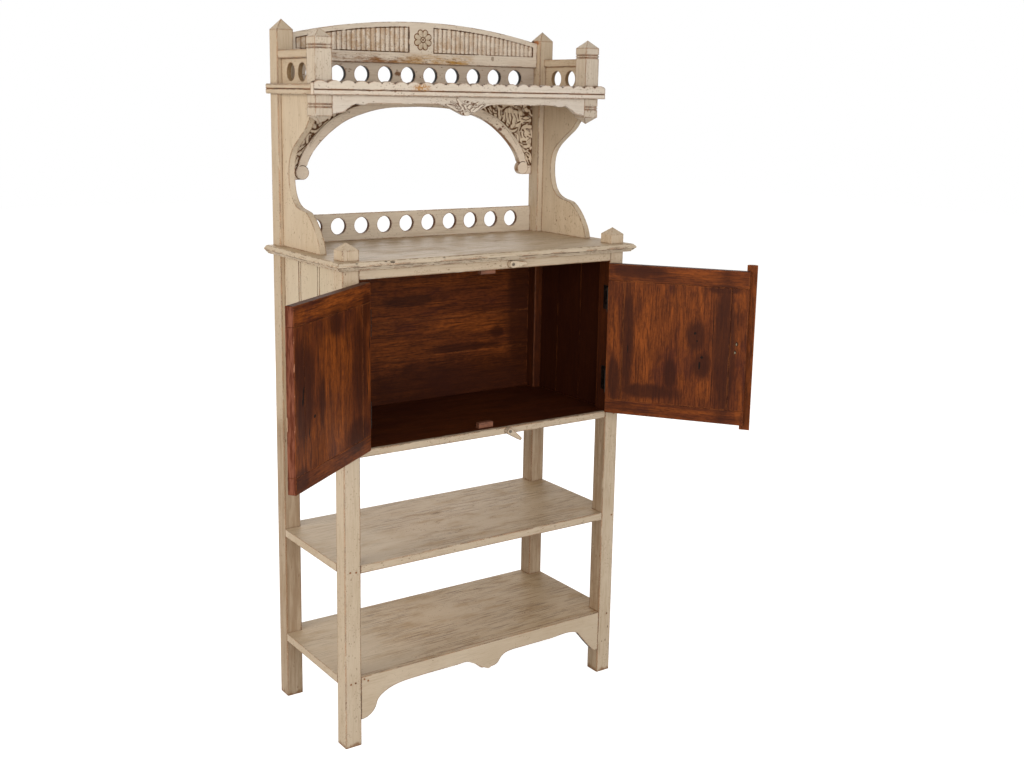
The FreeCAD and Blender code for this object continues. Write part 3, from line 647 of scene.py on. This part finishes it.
for side, word in ((-1, "left"), (1, "right")):
    swing = (Matrix.Translation(pin_at[side]) @ Matrix.Rotation(rest_turn[side], 4, "Z")
             @ Matrix.Translation(-pin_at[side]))
    for owner, body, face_x, out in (("post", "frame", 0.3578, -side),
                                     ("door", word + "_door", 0.3576, side)):
        mesh = bmesh.new()
        for low in (0.787, 0.998):
            for rise in (0.011, 0.031, 0.051):
                place = (Matrix.Translation((side * face_x, -0.171, low + rise))
                         @ Matrix.Rotation(out * math.pi / 2, 4, "Y")
                         @ Matrix.Translation((0, 0, -0.0003)))
                disc(mesh, place if owner == "post" else swing @ place, 0.0023, 0.00038, 16,
                     -0.00002)
        bmesh.ops.recalc_face_normals(mesh, faces=mesh.faces)
        screws = finished(mesh, "hinge_screws_" + owner + "_" + word, body)
        metal(screws, (40, 36, 33), (60, 40, 28), 0.4)

# Pegs
# Small wooden pegs and nail heads hold the shelves and the apron to the front posts. They
# stand a hair proud of the paint and have gone brown.
mesh = bmesh.new()
for x, z in ((-386.7, 440.6), (-371.5, 438.4), (392, 441.6), (-386.6, 161.6),
             (-374.4, 162.4), (387, 163.5), (-351, 166.8), (-341, 160.4), (-388, 722.5),
             (388, 721)):
    place = Matrix.Translation((x / 1000, -0.1815, z / 1000)) @ Matrix.Rotation(
        math.pi / 2, 4, "X")
    disc(mesh, place, 0.0023, 0.0011, 12, -0.0002)
bmesh.ops.recalc_face_normals(mesh, faces=mesh.faces)
pegs = finished(mesh, "pegs", "frame")
dress(pegs, "x", 71.0, rub=1.0, brush=1.0, paint=(120, 92, 66))


# Hutch
# Two bracket boards, an arched back board and a valance carry the upper shelf. The arch has
# a raised band, and carved foliage fills its two corners.
def pitted(place, pattern, colour):
    # Small chips in the lower lobe of the right bracket.
    near = ramp(far_from(place, (0.376, 0.038, 1.213), (60, 15, 26)), 1.2, 0.5)
    speck = ramp(cloud(place, (60, 130, 90), 5, 0.75), 0.58, 0.63)
    return mixed(near * speck, colour, tint(96, 66, 40))


for i, name in enumerate(("bracket_left", "bracket_right")):
    dress(parts[name], "z", 81.0 + i, rub=0.72, paint=(199, 180, 154), marks=(pitted,))


def ground_glaze_and_shade(place, pattern, colour):
    # Brown glaze fills the ground of the carving and the curl over each scroll.
    ground = box_mask(place, (None, 0.1704, 1.345), (None, 0.1716, None), 0.0002)
    thin = ramp(cloud(place, (60, 60, 60), 4), 0.25, 0.5)
    colour = mixed(ground * thin, colour, tint(92, 62, 38))
    # The left-facing faces of the right half of the arch are browned as painted shade.
    under = ramp(facing(place)[0], -0.25, -0.45)
    under *= box_mask(place, (0.2, None, 1.33), (None, None, 1.475), 0.006)
    under *= ramp(cloud(place, (14, 14, 14), 4), 0.3, 0.6)
    colour = mixed(under, colour, tint(142, 100, 60))
    for side in (-1, 1):
        far = far_from(place, (side * 0.3276, 0, 1.3398), (1, 0, 1))
        curl = ramp(sums("ABSOLUTE", far - 0.0168), 0.0013, 0.0006)
        x0, x1 = sorted((side * 0.313, side * 0.335))
        upper = box_mask(place, (x0, None, 1.3475), (x1, 0.1672, 1.3585), 0.001)
        colour = mixed(curl * upper, colour, tint(70, 42, 24))
    return colour


# The arch board's paint is paler than the lower frame's, partly as painted light against the shade
# under the upper shelf.
dress(parts["arch_board"], "x", 84.4, rub=0.7, paint=(222, 205, 184), marks=(
    ground_glaze_and_shade, blots([(251, 168, 1443, 8, 9, 5), (259, 166, 1450, 4, 3, 3)], (96, 46, 24))))
dress(parts["upper_shelf"], "x", 86.2, top=0.6, rub=0.6, paint=(198, 182, 160))
dress(parts["shelf_moulding_left"], "y", 87.3, rub=0.65)
dress(parts["shelf_moulding_right"], "y", 88.1, rub=0.65)


def strip_wear_and_shadow(place, pattern, colour):
    # One worn patch near the middle of the strip, and dirt and painted shadow on the scallop tops.
    spot = ramp(far_from(place, (-0.1335, 0, 1.5465), (38, 0, 100)), 1.2, 0.5)
    spot *= ramp(cloud(place, (220, 220, 220), 5, 0.7), 0.36, 0.56)
    colour = mixed(spot * 0.95, colour, tint(172, 120, 58))
    rising, level = facing(place)[2], split(place)[2]
    tops = ramp(rising, 0.15, 0.35) * ramp(cloud(place, (70, 70, 70), 4, 0.6), 0.3, 0.5)
    colour = mixed(tops * 0.8, colour, tint(98, 66, 40))
    # Low in each scallop the upward faces are near black: painted shadow.
    low = ramp(level, 1.5566, 1.5546) * ramp(level, 1.551, 1.5525)
    return mixed(low * ramp(rising, 0.05, 0.2), colour, tint(46, 28, 16))


# Pale paint, partly painted light against the shade under the upper shelf.
dress(parts["scallop_strip"], "x", 89.9, rub=0.7, marks=(strip_wear_and_shadow,), grime_and_shade=0.35,
      paint=(219, 206, 190))
# Pale paint, partly painted light against the shade under the upper shelf.
dress(parts["valance"], "x", 91.5, rub=0.65, paint=(211, 199, 184))


def bent(points, count=7):
    # Points along a smooth curve through three given ones.
    (x0, z0), (x1, z1), (x2, z2) = points
    t = numpy.linspace(0, 1, count)
    cx, cz = 2 * x1 - (x0 + x2) / 2, 2 * z1 - (z0 + z2) / 2
    return list(zip((1 - t) ** 2 * x0 + 2 * t * (1 - t) * cx + t ** 2 * x2,
                    (1 - t) ** 2 * z0 + 2 * t * (1 - t) * cz + t ** 2 * z2))


def relief(low, high, cell, face, strokes, keep):
    # A carved face in mm: a grid raised out of its board along strokes. A stroke has points,
    # half widths, a height and the depth of its vein, and one below nought cuts a groove.
    mesh = bmesh.new()
    columns, rows = round((high[0] - low[0]) / cell), round((high[1] - low[1]) / cell)
    bmesh.ops.create_grid(mesh, x_segments=columns, y_segments=rows, size=0.5)
    verts = list(mesh.verts)
    x = low[0] + (numpy.array([v.co.x for v in verts]) + 0.5) * (high[0] - low[0])
    z = low[1] + (numpy.array([v.co.y for v in verts]) + 0.5) * (high[1] - low[1])
    raised = numpy.full(len(x), -0.3)
    for points, widths, height, vein in strokes:
        share = numpy.linspace(0, 1, len(points))
        wide = numpy.interp(share, numpy.linspace(0, 1, len(widths)), widths)
        best, spine = numpy.full(len(x), 99.0), numpy.full(len(x), 1e3)
        for i in range(len(points) - 1):
            (ax, az), (bx, bz) = points[i], points[i + 1]
            length = max((bx - ax) ** 2 + (bz - az) ** 2, 1e-6)
            along = numpy.clip(((x - ax) * (bx - ax) + (z - az) * (bz - az)) / length, 0, 1)
            far = numpy.hypot(x - ax - along * (bx - ax), z - az - along * (bz - az))
            width = wide[i] + along * (wide[i + 1] - wide[i])
            best = numpy.minimum(best, far / numpy.maximum(width, 0.2))
            spine = numpy.minimum(spine, far)
        if height < 0:
            raised += height * numpy.exp(-best ** 2)
            continue
        rise = height * numpy.sqrt(numpy.clip(1 - best ** 2, 0, 1))
        rise -= vein * numpy.exp(-(spine / 0.9) ** 2) * (best < 1)
        raised = numpy.where(best < 1, numpy.maximum(raised, rise), raised)
    raised = numpy.maximum(raised, -0.3)
    for v, vx, vz, h in zip(verts, x, z, raised):
        v.co = (vx / 1000, (face - h) / 1000, vz / 1000)
    outside = [v for v, vx, vz, h in zip(verts, x, z, raised) if not keep(vx, vz, h)]
    bmesh.ops.delete(mesh, geom=outside, context="VERTS")
    out = bmesh.ops.extrude_face_region(mesh, geom=mesh.faces[:])
    for item in out["geom"]:
        if isinstance(item, bmesh.types.BMVert):
            item.co.y = (face + 1.5) / 1000
    bmesh.ops.recalc_face_normals(mesh, faces=mesh.faces)
    for f in mesh.faces:
        f.smooth = True
    return mesh


def coil(x, z, outer, inner, start, turns, width):
    # A leaf that rolls up to a small berry.
    stem = []
    for i in range(30):
        t = i / 29
        radius, angle = outer + (inner - outer) * t, start + turns * 2 * math.pi * t
        stem.append((x + radius * math.cos(angle), z + radius * math.sin(angle)))
    return [(stem, (width, width * 0.95, width * 0.6), 3.0, 0.0),
            ([(x, z), (x + 0.1, z)], (inner * 0.8, inner * 0.8), 3.4, 0.9)]


# The low ground of the carving, then its lobes, then the veins cut between them.
foliage = [([(357, 1352), (346, 1386), (338, 1425), (318, 1466), (284, 1490), (236, 1508),
             (176, 1522)], (5, 12, 26, 36, 30, 18, 7), 1.15, 0.0)]
foliage += coil(335, 1426, 15.5, 3.5, -2.3, 1.4, 6.6)
for ends, widths, height, vein in (
        ([(262, 1462), (268, 1478), (272, 1496)], (5, 8.5, 5), 2.6, 0.6),
        ([(276, 1453), (285, 1475), (286, 1500)], (5, 8.5, 6), 3.0, 0.8),
        ([(292, 1449), (301, 1470), (303, 1492)], (5, 8.5, 6), 2.8, 0.8),
        ([(308, 1452), (317, 1468), (320, 1486)], (4, 8, 6), 2.5, 0.6),
        ([(251, 1466), (252, 1484), (247, 1502)], (4, 6.5, 5), 2.4, 0.8),
        ([(238, 1474), (236, 1490), (227, 1506)], (4, 6.0, 4), 2.5, 0.8),
        ([(224, 1482), (220, 1495), (209, 1508)], (3, 5.5, 3.4), 2.4, 0.8),
        ([(209, 1490), (201, 1502), (188, 1510)], (2.6, 4.6, 2.6), 2.2, 0.6),
        ([(190, 1504), (180, 1513), (164, 1518)], (2.0, 4.0, 2.2), 2.0, 0.6),
        ([(172, 1516), (156, 1522), (140, 1524)], (1.6, 3.4, 1.6), 1.8, 0.5),
        ([(262, 1505), (282, 1510), (304, 1504)], (3, 6.5, 4), 2.4, 0.7),
        ([(226, 1514), (246, 1518), (268, 1515)], (3, 5.5, 3), 2.3, 0.7),
        ([(296, 1517), (314, 1514), (326, 1503)], (4, 7.0, 4), 2.6, 0.8),
        ([(334, 1522), (331, 1508), (339, 1494)], (4, 7.5, 5), 2.8, 0.8),
        ([(342, 1492), (350, 1489), (358, 1480)], (4, 6.0, 4), 2.4, 0.7),
        ([(345, 1522), (352, 1515), (353, 1505)], (3, 5.0, 2.4), 2.2, 0.6),
        ([(252, 1467), (271, 1449), (292, 1437), (307, 1441), (313, 1450)],
         (3.4, 4.4, 4.6, 4.0, 2.4), 3.2, 0.0),
        ([(322, 1463), (336, 1469), (352, 1467)], (5, 8.5, 5), 2.6, 0.8),
        ([(324, 1449), (339, 1452), (354, 1449)], (4, 6.5, 5), 2.5, 0.7),
        ([(356, 1440), (358, 1425), (354, 1408)], (3, 4.5, 3), 2.2, 0.5),
        ([(300, 1431), (309, 1424), (312, 1409)], (3, 5.5, 3), 2.5, 0.8),
        ([(314, 1406), (330, 1397), (350, 1399)], (3, 6.5, 4.5), 2.7, 0.8),
        ([(318, 1399), (330, 1387), (344, 1381)], (2.4, 5.0, 3.4), 2.6, 0.7),
        ([(342, 1388), (351, 1388), (358, 1394)], (3, 4.6, 3), 2.3, 0.6),
        ([(334, 1374), (339, 1381), (350, 1378)], (2.4, 4.5, 3), 2.4, 0.7),
        ([(337, 1373), (343, 1362), (351, 1348)], (2.6, 4.2, 2), 2.6, 0.7),
        ([(346, 1374), (352, 1362), (357, 1350)], (2.6, 3.8, 2), 2.6, 0.7),
        ([(354, 1376), (357, 1368), (359, 1358)], (2.0, 3.0, 2), 2.2, 0.5)):
    foliage.append((bent(ends, 9) if len(ends) == 3 else ends, widths, height, vein))
for points, wide, depth in (
        ([(262, 1491), (270, 1498), (281, 1503), (291, 1501), (300, 1496), (309, 1494)], 1.3, 2.6),
        ([(264, 1493), (263, 1483)], 1.6, 4.0), ([(281, 1485), (281, 1475), (284, 1463)], 1.0, 2.2),
        ([(288, 1485), (292, 1472), (289, 1463), (291, 1457)], 1.2, 2.8),
        ([(255, 1466), (265, 1461), (272, 1454), (280, 1447), (288, 1443), (301, 1444)], 1.2, 3.0),
        ([(301, 1444), (312, 1448), (309, 1440), (302, 1435)], 1.0, 2.4),
        ([(325, 1503), (328, 1493), (335, 1486), (342, 1481), (350, 1477), (356, 1474)], 1.5, 3.2),
        ([(354, 1501), (355, 1494), (358, 1486)], 2.2, 5.0), ([(345, 1487), (346, 1488)], 1.6, 3.0),
        ([(320, 1478), (330, 1477), (338, 1480)], 1.1, 2.4),
        ([(303, 1460), (309, 1460), (318, 1463)], 1.4, 3.0),
        ([(323, 1450), (330, 1455), (338, 1457)], 1.2, 2.4),
        ([(318, 1440), (323, 1449), (324, 1458)], 1.0, 2.0),
        ([(328, 1441), (333, 1437), (330, 1431), (333, 1424), (338, 1421)], 1.3, 3.0),
        ([(343, 1424), (348, 1422)], 1.3, 2.6), ([(329, 1410), (338, 1410)], 1.8, 4.0),
        ([(313, 1408), (320, 1401), (329, 1394), (341, 1388)], 1.2, 2.8),
        ([(318, 1395), (328, 1383)], 1.2, 2.4), ([(351, 1386), (358, 1382)], 1.8, 4.0),
        ([(345, 1391), (350, 1391)], 1.2, 2.4), ([(331, 1376), (338, 1380)], 1.4, 2.6),
        ([(333, 1376), (336, 1368)], 1.4, 2.6), ([(341, 1357), (347, 1348), (355, 1339)], 1.7, 4.0),
        ([(350, 1359), (352, 1354), (356, 1350)], 1.5, 3.4),
        ([(346, 1370), (349, 1366)], 1.2, 2.4), ([(295, 1434), (301, 1428)], 1.6, 3.0),
        ([(243, 1471), (248, 1465)], 1.5, 3.0), ([(357, 1470), (359, 1456)], 1.6, 3.0),
        ([(357, 1418), (359, 1404)], 1.4, 2.4), ([(197, 1502), (216, 1503)], 1.7, 3.6),
        ([(225, 1506), (231, 1498), (240, 1493)], 1.7, 3.6),
        ([(239, 1502), (243, 1495), (245, 1488)], 1.3, 3.0),
        ([(248, 1505), (258, 1502)], 1.6, 3.0), ([(208, 1497), (216, 1491)], 1.1, 2.2),
        ([(254, 1492), (255, 1480)], 1.0, 2.2), ([(220, 1494), (229, 1486), (244, 1483)], 1.0, 2.2),
        ([(300, 1505), (312, 1509)], 1.4, 2.6), ([(230, 1511), (250, 1512)], 1.4, 2.6),
        ([(322, 1513), (326, 1506)], 1.3, 2.6), ([(343, 1508), (347, 1500)], 1.5, 3.0),
        ([(165, 1513), (185, 1508)], 1.3, 2.6), ([(324, 1471), (338, 1467), (350, 1471)], 1.0, 2.2),
        ([(331, 1462), (346, 1461)], 1.0, 2.0), ([(299, 1484), (306, 1472), (305, 1464)], 1.0, 2.2),
        ([(312, 1482), (315, 1469)], 1.0, 2.0), ([(269, 1487), (271, 1474), (268, 1466)], 1.0, 2.0),
        ([(341, 1444), (350, 1439)], 1.1, 2.2), ([(344, 1413), (352, 1420)], 1.1, 2.2),
        ([(321, 1434), (326, 1421)], 1.1, 2.2), ([(306, 1428), (308, 1416)], 1.0, 2.0),
        ([(330, 1402), (342, 1402)], 1.1, 2.2), ([(341, 1382), (350, 1377)], 1.0, 2.0),
        ([(326, 1496), (338, 1502)], 1.0, 2.0), ([(274, 1508), (288, 1509)], 1.1, 2.2),
        ([(236, 1499), (237, 1490)], 1.0, 2.0), ([(212, 1502), (219, 1497)], 1.0, 2.0),
        ([(262, 1474), (258, 1466)], 1.0, 2.0), ([(277, 1460), (283, 1454)], 1.0, 2.0),
        ([(345, 1455), (355, 1457)], 1.0, 2.0), ([(348, 1430), (354, 1428)], 1.0, 2.0)):
    foliage.append((points, (wide * 1.35,) * len(points), -1.25 * depth, 0.0))


def carve(name, mesh, seed, recess, paint, side=1, **more):
    # A carved piece of the frame, with brown glaze in its low parts. The left one of a pair
    # is the right one turned over.
    if side < 0:
        bmesh.ops.scale(mesh, vec=(-1, 1, 1), verts=mesh.verts)
        bmesh.ops.recalc_face_normals(mesh, faces=mesh.faces)
    dress(finished(mesh, name, "frame"), "x", seed, rub=0.0, recess=recess,
          paint=paint, **more)


def shape_of(piece):
    # A node's shape, to find where a line meets it.
    return BVHTree.FromPolygons([v.co for v in piece.data.vertices],
                                [p.vertices for p in piece.data.polygons])


arch_shape, valance_shape = shape_of(parts["arch_board"]), shape_of(parts["valance"])


def on_plate(x, z, h):
    # Keep what lies over the recessed plate, and a little under the band and the posts.
    for dx, dz in ((0, 0), (-2, -2), (2, 2)):
        hit = arch_shape.ray_cast(Vector(((x + dx) / 1000, 0, (z + dz) / 1000)),
                                  Vector((0, 1, 0)))[0]
        if hit is not None and hit.y > 0.1705:
            return True
    return False


def above_ground(x, z, h):
    return h > -0.25


def on_valance(x, z, h):
    return above_ground(x, z, h) and valance_shape.ray_cast(
        Vector((x / 1000, -0.1, z / 1000)), Vector((0, 1, 0)))[0] is not None


for side, word in ((1, "right"), (-1, "left")):
    carve("arch_foliage_" + word, relief((130, 1340), (361, 1530), 1.1, 171, foliage, on_plate),
          93.0 + side, (1, 0.1695, 0.1708), (220, 200, 172), side)

# A low bead runs along the outer side of the band, and fades out above each scroll.
bead = [([(198, 1487), (222, 1479.5), (243, 1469.5), (261, 1456), (277, 1442), (292, 1424.5),
          (306, 1404)], (1.6, 2.3, 2.4, 2.6, 3.0, 3.4, 2.2), 1.3, 0.0)]
for side, word in ((1, "right"), (-1, "left")):
    carve("arch_bead_" + word, relief((190, 1396), (314, 1496), 0.8, 166, bead, above_ground),
          95.0 + side, (1, 0.1652, 0.1657), (214, 198, 176), side)

leaf = [([(-60, 1508), (-30, 1503), (0, 1500), (26, 1503), (52, 1509)],
         (2, 9, 18, 10, 2), 1.8, 0.0)]
for ends, widths, height, vein in (
        ([(-16, 1488), (-34, 1497), (-56, 1508)], (4.0, 5.5, 3.0), 2.4, 0.0),
        ([(-12, 1493), (-26, 1503), (-44, 1515)], (4.0, 5.5, 2.6), 2.6, 0.0),
        ([(-8, 1494), (-16, 1508), (-27, 1521)], (4.0, 6.5, 3.4), 2.8, 0.0),
        ([(-3, 1496), (-6, 1507), (-3, 1517)], (3.6, 6.0, 3.0), 2.6, 0.0),
        ([(4, 1495), (8, 1506), (14, 1515)], (3.6, 6.0, 3.0), 2.6, 0.0),
        ([(11, 1493), (19, 1503), (33, 1514)], (3.6, 5.0, 2.6), 2.8, 0.0),
        ([(14, 1489), (28, 1498), (44, 1509)], (4.0, 5.0, 2.6), 2.4, 0.0),
        ([(0, 1494), (0, 1488), (1, 1484)], (9.0, 11.0, 8.0), 2.8, 0.0)):
    leaf.append((bent(ends), widths, height, vein))
for points, wide, depth in (
        ([(-44, 1512), (-38, 1510), (-32, 1507)], 1.0, 2.6),
        ([(-30, 1503), (-24, 1503), (-19, 1501)], 1.3, 3.4),
        ([(-14, 1519), (-10, 1515), (-7, 1512), (-3, 1513)], 1.3, 3.6),
        ([(0, 1508), (2, 1510), (7, 1512), (10, 1512)], 1.4, 3.6),
        ([(10, 1511), (12, 1516), (16, 1518), (20, 1518)], 1.2, 3.0),
        ([(-15, 1508), (-10, 1503), (-7, 1498)], 1.1, 2.4),
        ([(-4, 1494), (2, 1497), (8, 1493)], 1.3, 3.2),
        ([(11, 1500), (17, 1505)], 1.0, 2.4), ([(20, 1504), (27, 1505), (31, 1505)], 1.3, 3.2),
        ([(31, 1505), (36, 1510), (44, 1513)], 1.1, 2.8), ([(25, 1509), (25.5, 1509)], 1.2, 2.2),
        ([(-24, 1496), (-12, 1494)], 1.0, 2.2), ([(10, 1489), (17, 1489)], 1.0, 2.6),
        ([(-27, 1492), (-20, 1490)], 0.9, 2.0)):
    leaf.append((points, (wide * 1.5,) * len(points), -1.5 * depth, 0.0))
carve("valance_leaf", relief((-64, 1482), (56, 1524), 0.8, -58, leaf, on_valance), 97.7,
      (1, -0.0601, -0.0593), (213, 200, 184))


# Gallery
# Corner posts with cut rings rise through the shelf. Pierced rails join them to the back,
# and a second pierced rail stands on the worktop.
def pierced_edges_and_shade(axis, low, high, shade):
    # The walls of the round holes were never painted well, and show brown.
    def mark(place, pattern, colour):
        # The walls are darkened, down to near black in the back rail: bare wood, and painted shade
        # in the holes.
        wall = ramp(sums("ABSOLUTE", facing(place)[axis]), 0.6, 0.3)
        inside = box_mask(place, (None, None, low), (None, None, high))
        thin = spread(cloud(pattern, (60, 90, 90), 4), 0.8, 1.0, 0.35, 0.5)
        return mixed(wall * inside * thin, colour, tint(*shade))
    return mark


for i, name in enumerate(("gallery_post_left", "gallery_post_right")):
    dress(parts[name], "z", 101.0 + i, rub=0.75, paint=(198, 184, 166))
dress(parts["gallery_rails_side"], "y", 103.3, rub=0.65,
      marks=(pierced_edges_and_shade(0, 1.5505, 1.607, (138, 112, 80)),))
for i, name in enumerate(("gallery_batten_left", "gallery_batten_right")):
    dress(parts[name], "y", 104.0 + i, rub=0.75)
dress(parts["gallery_rail_back"], "x", 107.0, rub=0.65, paint=(184, 169, 153), marks=(
    pierced_edges_and_shade(1, 1.5505, 1.6055, (18, 10, 5)),
    blots([(-63, 166, 1581, 10, 4, 7)], (110, 72, 44))))
dress(parts["gallery_rail_lower"], "x", 108.6, rub=0.65, paint=(206, 191, 170), marks=(
    pierced_edges_and_shade(1, 1.1685, 1.234, (92, 56, 28)),))

# Crest board
# An arched board with two reeded panels and a carved flower between them. Brown glaze lies
# in the reeds, and the plain band below them is worn to the wood.
flower_x, flower_z = 3.5, 1665.5


def crest_panels(place, grow):
    # The two reeded panels as a mask, made larger or smaller all round by a little.
    x = sums("ABSOLUTE", split(place)[0])
    ends = ramp(x, 0.0356 - grow, 0.0364 - grow) * ramp(x, 0.3454 + grow, 0.3446 + grow)
    top = ramp(far_from(place, (0, 0, 0.0888), (1, 0, 1)), 1.6071 + grow, 1.6063 + grow)
    return ends * top * box_mask(place, (None, None, 1.6339 - grow), (None, None, None))


def crest_wear(place, pattern, colour):
    # All the wear is on the front: the board's back is plain.
    plain, (across, back, up) = colour, (split(place)[i] for i in range(3))
    blotch = ramp(cloud(place, (60, 60, 45), 5, 0.7), 0.44, 0.6)
    fade = spread(across, 0.5, 0.15, 0.02, 0.3)
    colour = mixed(crest_panels(place, 0.0) * blotch * fade, colour, tint(158, 120, 76))
    # The band below the panels is rubbed to golden wood towards the left.
    left, lower = ramp(across, 0.175, 0.13), ramp(up, 1.640, 1.614)
    band = box_mask(place, (None, None, 1.606), (None, None, 1.632), 0.003) * lower
    rubbed = ramp(cloud(pattern, (9, 60, 60), 6, 0.75), 0.4, 0.6)
    golden = mixed(ramp(across, -0.1, 0.0), tint(128, 84, 42), tint(168, 126, 64))
    colour = mixed(band * rubbed * (left * 0.95 + 0.05), colour, golden)
    speck = ramp(cloud(pattern, (90, 260, 260), 4, 0.7), 0.5, 0.66)
    colour = mixed(band * left * speck * 0.7, colour, tint(84, 50, 26))
    # A broken dark line runs round each panel.
    line = crest_panels(place, 0.0013) - crest_panels(place, -0.0013)
    line *= spread(across, 1.0, 0.5, 0.1, 0.25)
    broken = ramp(cloud(place, (50, 50, 50), 4, 0.6), 0.34, 0.5)
    colour = mixed(line * broken, colour, tint(70, 42, 22))
    # A dark seat under the flower shows as a line round its petals.
    centre = (flower_x / 1000, 0, flower_z / 1000)
    side = split(moved(place, centre))
    angle = sums("ARCTAN2", side[2], side[0])
    petal = sums("POWER", sums("ABSOLUTE", sums("SINE", angle * 4)), 0.5)
    outside = far_from(place, centre, (1, 0, 1)) - (petal * 0.0062 + 0.0205)
    colour = mixed(ramp(outside, 0.0005, 0.0), colour, tint(112, 74, 42))
    return mixed(ramp(back, 0.166, 0.162), plain, colour)


def reeds_fade(place):
    # The glaze in the reeds is thinner towards the right end.
    spotty = spread(cloud(place, (90, 90, 60), 4, 0.7), 0.45, 1.0, 0.35, 0.6)
    return spread(split(place)[0], 0.95, 0.4, 0.08, 0.3) * spotty


dress(parts["crest_board"], "x", 111.8, rub=0.55, recess=(1, 0.1568, 0.158), faint=reeds_fade,
      paint=(213, 199, 181), marks=(
          crest_wear, blots([(216, 155, 1626, 5, 3, 7)], (128, 108, 88), 0.7)))

# Eight petals, then a ring cut round the middle, the eye and the dimple in it.
flower = []
for i in range(8):
    c, s = math.cos(math.pi * (2 * i + 1) / 8), math.sin(math.pi * (2 * i + 1) / 8)
    flower.append(([(flower_x + r * c, flower_z + r * s) for r in (5, 10, 15, 19)],
                   (1.8, 4.2, 6.2, 6.4), 2.6, 0.0))
flower.append(([(flower_x + 6.8 * math.cos(t / 3), flower_z + 6.8 * math.sin(t / 3))
                for t in range(20)], (1.0,) * 20, -2.6, 0.0))
flower.append(([(flower_x, flower_z), (flower_x + 0.1, flower_z)], (5.4, 5.4), 3.4, 0.0))
flower.append(([(flower_x - 1, flower_z), (flower_x + 1, flower_z)], (2.0, 2.0), -4.4, 0.0))


def on_flower(x, z, h):
    return math.hypot(x - flower_x, z - flower_z) < 26.5 and above_ground(x, z, h)


carve("crest_flower", relief((-24, 1637), (32, 1694), 0.7, 155, flower, on_flower), 113.1,
      (1, 0.1537, 0.1549), (190, 172, 148), carved=True)

# Studio
# A pale floor, a white surround and soft lamps, with the camera at the photograph's angle.
studio = bpy.context.scene
floor_mesh = bmesh.new()
bmesh.ops.create_grid(floor_mesh, x_segments=1, y_segments=1, size=14)
floor_data = bpy.data.meshes.new("floor")
floor_mesh.to_mesh(floor_data)
floor_mesh.free()
floor = bpy.data.objects.new("floor", floor_data)
studio.collection.objects.link(floor)
floor_paint = bpy.data.materials.new("floor_paint")
floor_paint.use_nodes = True
tree = floor_paint.node_tree
tree.nodes.clear()
ray = node("LightPath", tree=tree)
matt = node("BsdfDiffuse", {"Color": (0.55, 0.55, 0.55, 1)}, tree)[0]
lift = node("Emission", {"Color": (1, 1, 1, 1), "Strength": 0.84}, tree)[0]
shown = node("AddShader", {0: matt, 1: lift})[0]
seen = highest([ray["Is Camera Ray"], ray["Is Glossy Ray"]])
node("OutputMaterial", {"Surface": node("MixShader", {0: seen, 1: matt, 2: shown})[0]})
floor_data.materials.append(floor_paint)

world = bpy.data.worlds.new("surround")
studio.world = world
world.use_nodes = True
tree = world.node_tree
tree.nodes.clear()
ray = node("LightPath", tree=tree)
seen = highest([ray["Is Camera Ray"], ray["Is Glossy Ray"], ray["Is Transmission Ray"]])
soft = node("Background", {"Color": (1, 0.95, 0.88, 1), "Strength": 0.4}, tree)[0]
white = node("Background", {"Color": (1, 1, 1, 1), "Strength": 1.0}, tree)[0]
node("OutputWorld", {"Surface": node("MixShader", {0: seen, 1: soft, 2: white})[0]})

for name, at, size, power, colour in (
        ("lamp_left", (-3.9, -0.5, 2.05), 1.6, 66, (1.0, 0.95, 0.88)),
        ("lamp_low", (-2.9, -3.0, 1.35), 1.6, 32, (1.0, 0.95, 0.88)),
        ("lamp_front", (-0.6, -4.4, 1.75), 3.0, 97, (0.95, 0.985, 1.035)),
        ("lamp_back", (1.5, 4.0, 2.6), 3.0, 70, (1, 1, 1))):
    lamp = bpy.data.lights.new(name, "AREA")
    lamp.size, lamp.energy, lamp.color = size, power, colour
    holder = bpy.data.objects.new(name, lamp)
    holder.location = at
    holder.rotation_euler = (Vector((0, 0, 0.85)) - Vector(at)).to_track_quat("-Z", "Y").to_euler()
    holder.visible_camera = False
    studio.collection.objects.link(holder)

lens = bpy.data.cameras.new("camera")
lens.sensor_fit, lens.sensor_width, lens.lens = "HORIZONTAL", 36, 44.3
lens.shift_x, lens.shift_y = 0.0030, -0.0411
lens.clip_end = 60
camera = bpy.data.objects.new("camera", lens)
studio.collection.objects.link(camera)
az, el, roll = math.radians(-34.87), math.radians(11.13), math.radians(1.03)
back = Vector((math.sin(az) * math.cos(el), -math.cos(az) * math.cos(el), math.sin(el)))
right = Vector((math.cos(az), math.sin(az), 0))
up = back.cross(right)
right, up = (math.cos(roll) * right + math.sin(roll) * up,
             -math.sin(roll) * right + math.cos(roll) * up)
turned = Matrix((right, up, back)).transposed().to_4x4()
camera.matrix_world = Matrix.Translation((-1.6709, -2.6509, 1.5360)) @ turned
studio.camera = camera
studio.view_settings.view_transform = "Standard"
